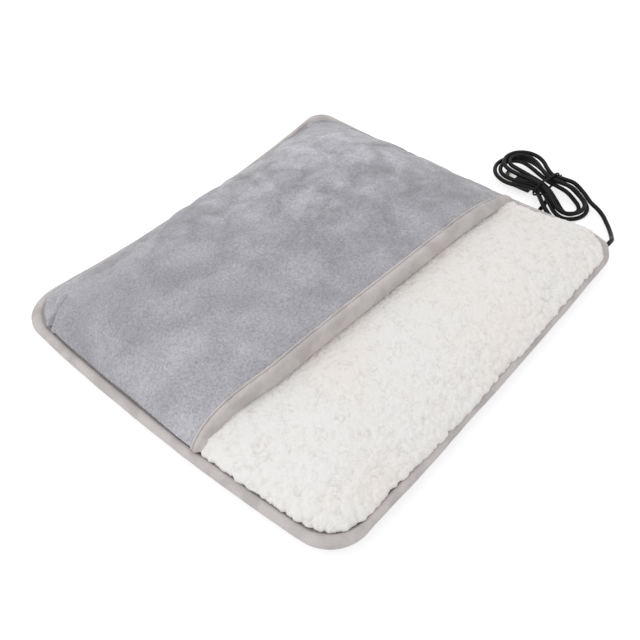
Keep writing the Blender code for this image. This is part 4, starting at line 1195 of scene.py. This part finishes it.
def through(points, spacing):
    """Points evenly spaced along a smooth curve through the given ones."""
    route = [Vector(point) for point in points]
    padded = [2 * route[0] - route[1], *route, 2 * route[-1] - route[-2]]
    dense = []
    for a, b, c, d in zip(padded, padded[1:], padded[2:], padded[3:]):
        for step in range(12):
            t = step / 12
            dense.append(0.5 * (2 * b + (c - a) * t + (2 * a - 5 * b + 4 * c - d) * t * t
                                + (3 * b - a - 3 * c + d) * t ** 3))
    dense.append(route[-1])
    places = np.array(dense)
    along = np.concatenate([[0], np.cumsum(np.linalg.norm(np.diff(places, axis=0), axis=1))])
    count = max(2, round(along[-1] / spacing))
    share = np.linspace(0, along[-1], count + 1)
    even = np.stack([np.interp(share, along, places[:, k]) for k in range(3)], axis=1)
    return [Vector(point) for point in even]


wound = [hank_point(step) for step in range(2, 94)]
tail = through([wound[-1], *TAIL_ROUTE], 9 * MM)[1:]
onward = (wound[1] - wound[0]).normalized()
free = through([*FREE_ROUTE, wound[0] - onward * LEAD_DIAMETER], 9 * MM)
ROUTE = through([*free, *wound, *tail, PLUG_REAR], 2.5 * MM)


# %% [markdown]
# A curve with a round bevel is the natural tool for a lead: its line is the route, and its thickness is
# one number. Skinning a mesh tube by hand would give the same surface and be harder to change.

# %% Draw the lead and the tie
def round_curve(name, points, diameter, look, sides=5):
    """A round tube along points, as a curve."""
    let_go()
    line = bpy.data.curves.new(name, "CURVE")
    line.dimensions = "3D"
    line.bevel_depth = diameter / 2
    line.bevel_resolution = sides
    line.use_fill_caps = True
    spline = line.splines.new("POLY")
    spline.points.add(len(points) - 1)
    for place, point in zip(spline.points, points):
        place.co = (*point, 1)
    spline.use_smooth = True
    piece = bpy.data.objects.new(name, line)
    bpy.context.scene.collection.objects.link(piece)
    line.materials.append(look)
    return piece


lead = round_curve("usb_lead", ROUTE, LEAD_DIAMETER, BLACK_PVC)
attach(lead, "base")
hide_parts("power_cord", "cord_hank")

TIE_SECTION = [(across * MM, z * MM) for across, z in (
    (19.1, 12.8), (15.8, 13), (15.2, 14.5), (14, 16.7), (11.6, 17.4), (-9.1, 17.4), (-11.6, 16.6),
    (-17.4, 12), (-18.6, 9.6), (-17.2, 6.3), (-6.2, 1), (-3.9, 0.66), (-1.9, 0.8), (13.9, 6.5),
    (15.2, 9.3), (15.8, 11.2),
    (19.1, 11.2))]
wraps = TIE_SECTION[:-1] + TIE_SECTION[1:]
tie_points = [hank_place((-4 + 2.2 * number / (len(wraps) - 1)) * MM, across, z)
              for number, (across, z) in enumerate(wraps)]
tie = round_curve("twist_tie", tie_points, 1.3 * MM, BLACK_PVC, 4)
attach(tie, "base")
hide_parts("wire_tie")

# %% [markdown]
# ## Finishes of the pieces that keep their solids
# The heater, its safety parts, the wadding under it and the plug are shown as the solids are. Each gets
# its own finish in place of the plain one.

# %% Dress the solids
KEPT = {
    "base_padding": WADDING, "heater_carrier": FELT, "heater_cover_sheet": FELT,
    "heating_wire": WIRE_JACKET, "lead_live": LEAD_JACKET, "lead_return": LEAD_JACKET,
    "link_wire_live": LEAD_JACKET, "link_wire_return": LEAD_JACKET, "crimp_live": CRIMP_METAL,
    "crimp_return": CRIMP_METAL, "thermal_cutout": BROWN_RESIN, "thermal_fuse": BRIGHT_STEEL,
    "cord_anchor": BLACK_PVC, "inner_cord": BLACK_PVC, "usb_plug_body": BLACK_PVC,
    "usb_plug_shell": BRIGHT_STEEL, "usb_plug_tongue": WHITE_NYLON, "usb_contact_1": GOLD_PLATE,
    "usb_contact_2": GOLD_PLATE, "usb_contact_3": GOLD_PLATE, "usb_contact_4": GOLD_PLATE}
for node, look in KEPT.items():
    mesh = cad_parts[node].data
    mesh.materials.clear()
    mesh.materials.append(look)
print("dressed solids:", len(KEPT))

# %% [markdown]
# ## Light and floor
# The photograph is lit from all round, with a slightly stronger light from the upper left and a white
# sweep. The world gives most of the light, a wide lamp gives the soft shade, and the floor looks white
# to the camera while it still takes the mat's shadow.

# %% Floor, world and lamps
let_go()
bpy.ops.mesh.primitive_plane_add(size=6, location=(0, 0, -0.0003))
floor = named("floor")
settle(floor)


def seen_by_eye(tree):
    """1 for rays from the camera, from gloss and through glass, and 0 for the rays that light the object."""
    rays = tree.nodes.new("ShaderNodeLightPath")
    value = rays.outputs["Is Camera Ray"]
    for name in ("Is Glossy Ray", "Is Transmission Ray"):
        value = worked_out(tree, "MAXIMUM", value, rays.outputs[name])
    return value


FLOOR_LIFT = 0.68
FLOOR_SEEN_SHARE = 0.5
WORLD_LIGHT = 0.84
floor_look, tree, shader = new_finish("white_sweep", linear(250, 250, 250), 1.0)
shader.inputs["Specular IOR Level"].default_value = 0
shader.inputs["Emission Color"].default_value = (1, 1, 1, 1)
tree.links.new(stretch(tree, seen_by_eye(tree), 0.0, 1.0, 0.0, FLOOR_LIFT),
               shader.inputs["Emission Strength"])
tree.links.new(mix_colours(tree, seen_by_eye(tree), (0.95, 0.95, 0.95, 1), (FLOOR_SEEN_SHARE,) * 3 + (1,)),
               shader.inputs["Base Color"])
floor.data.materials.append(floor_look)

world = bpy.data.worlds.new("soft_studio")
bpy.context.scene.world = world
world.use_nodes = True
tree = world.node_tree
background = tree.nodes["Background"]
background.inputs["Color"].default_value = (1, 1, 1, 1)
tree.links.new(stretch(tree, seen_by_eye(tree), 0.0, 1.0, WORLD_LIGHT, 1.0), background.inputs["Strength"])


def soft_lamp(name, place, target, size, power):
    """A square lamp that looks at a place."""
    data = bpy.data.lights.new(name, "AREA")
    data.size = size
    data.energy = power
    lamp = bpy.data.objects.new(name, data)
    bpy.context.scene.collection.objects.link(lamp)
    lamp.location = place
    lamp.rotation_euler = (Vector(target) - Vector(place)).to_track_quat("-Z", "Y").to_euler()
    return lamp


soft_lamp("key_lamp", (-0.9, 0.6, 1.5), (0, 0, 0), 1.2, 7)
bpy.context.scene.view_settings.view_transform = "Standard"
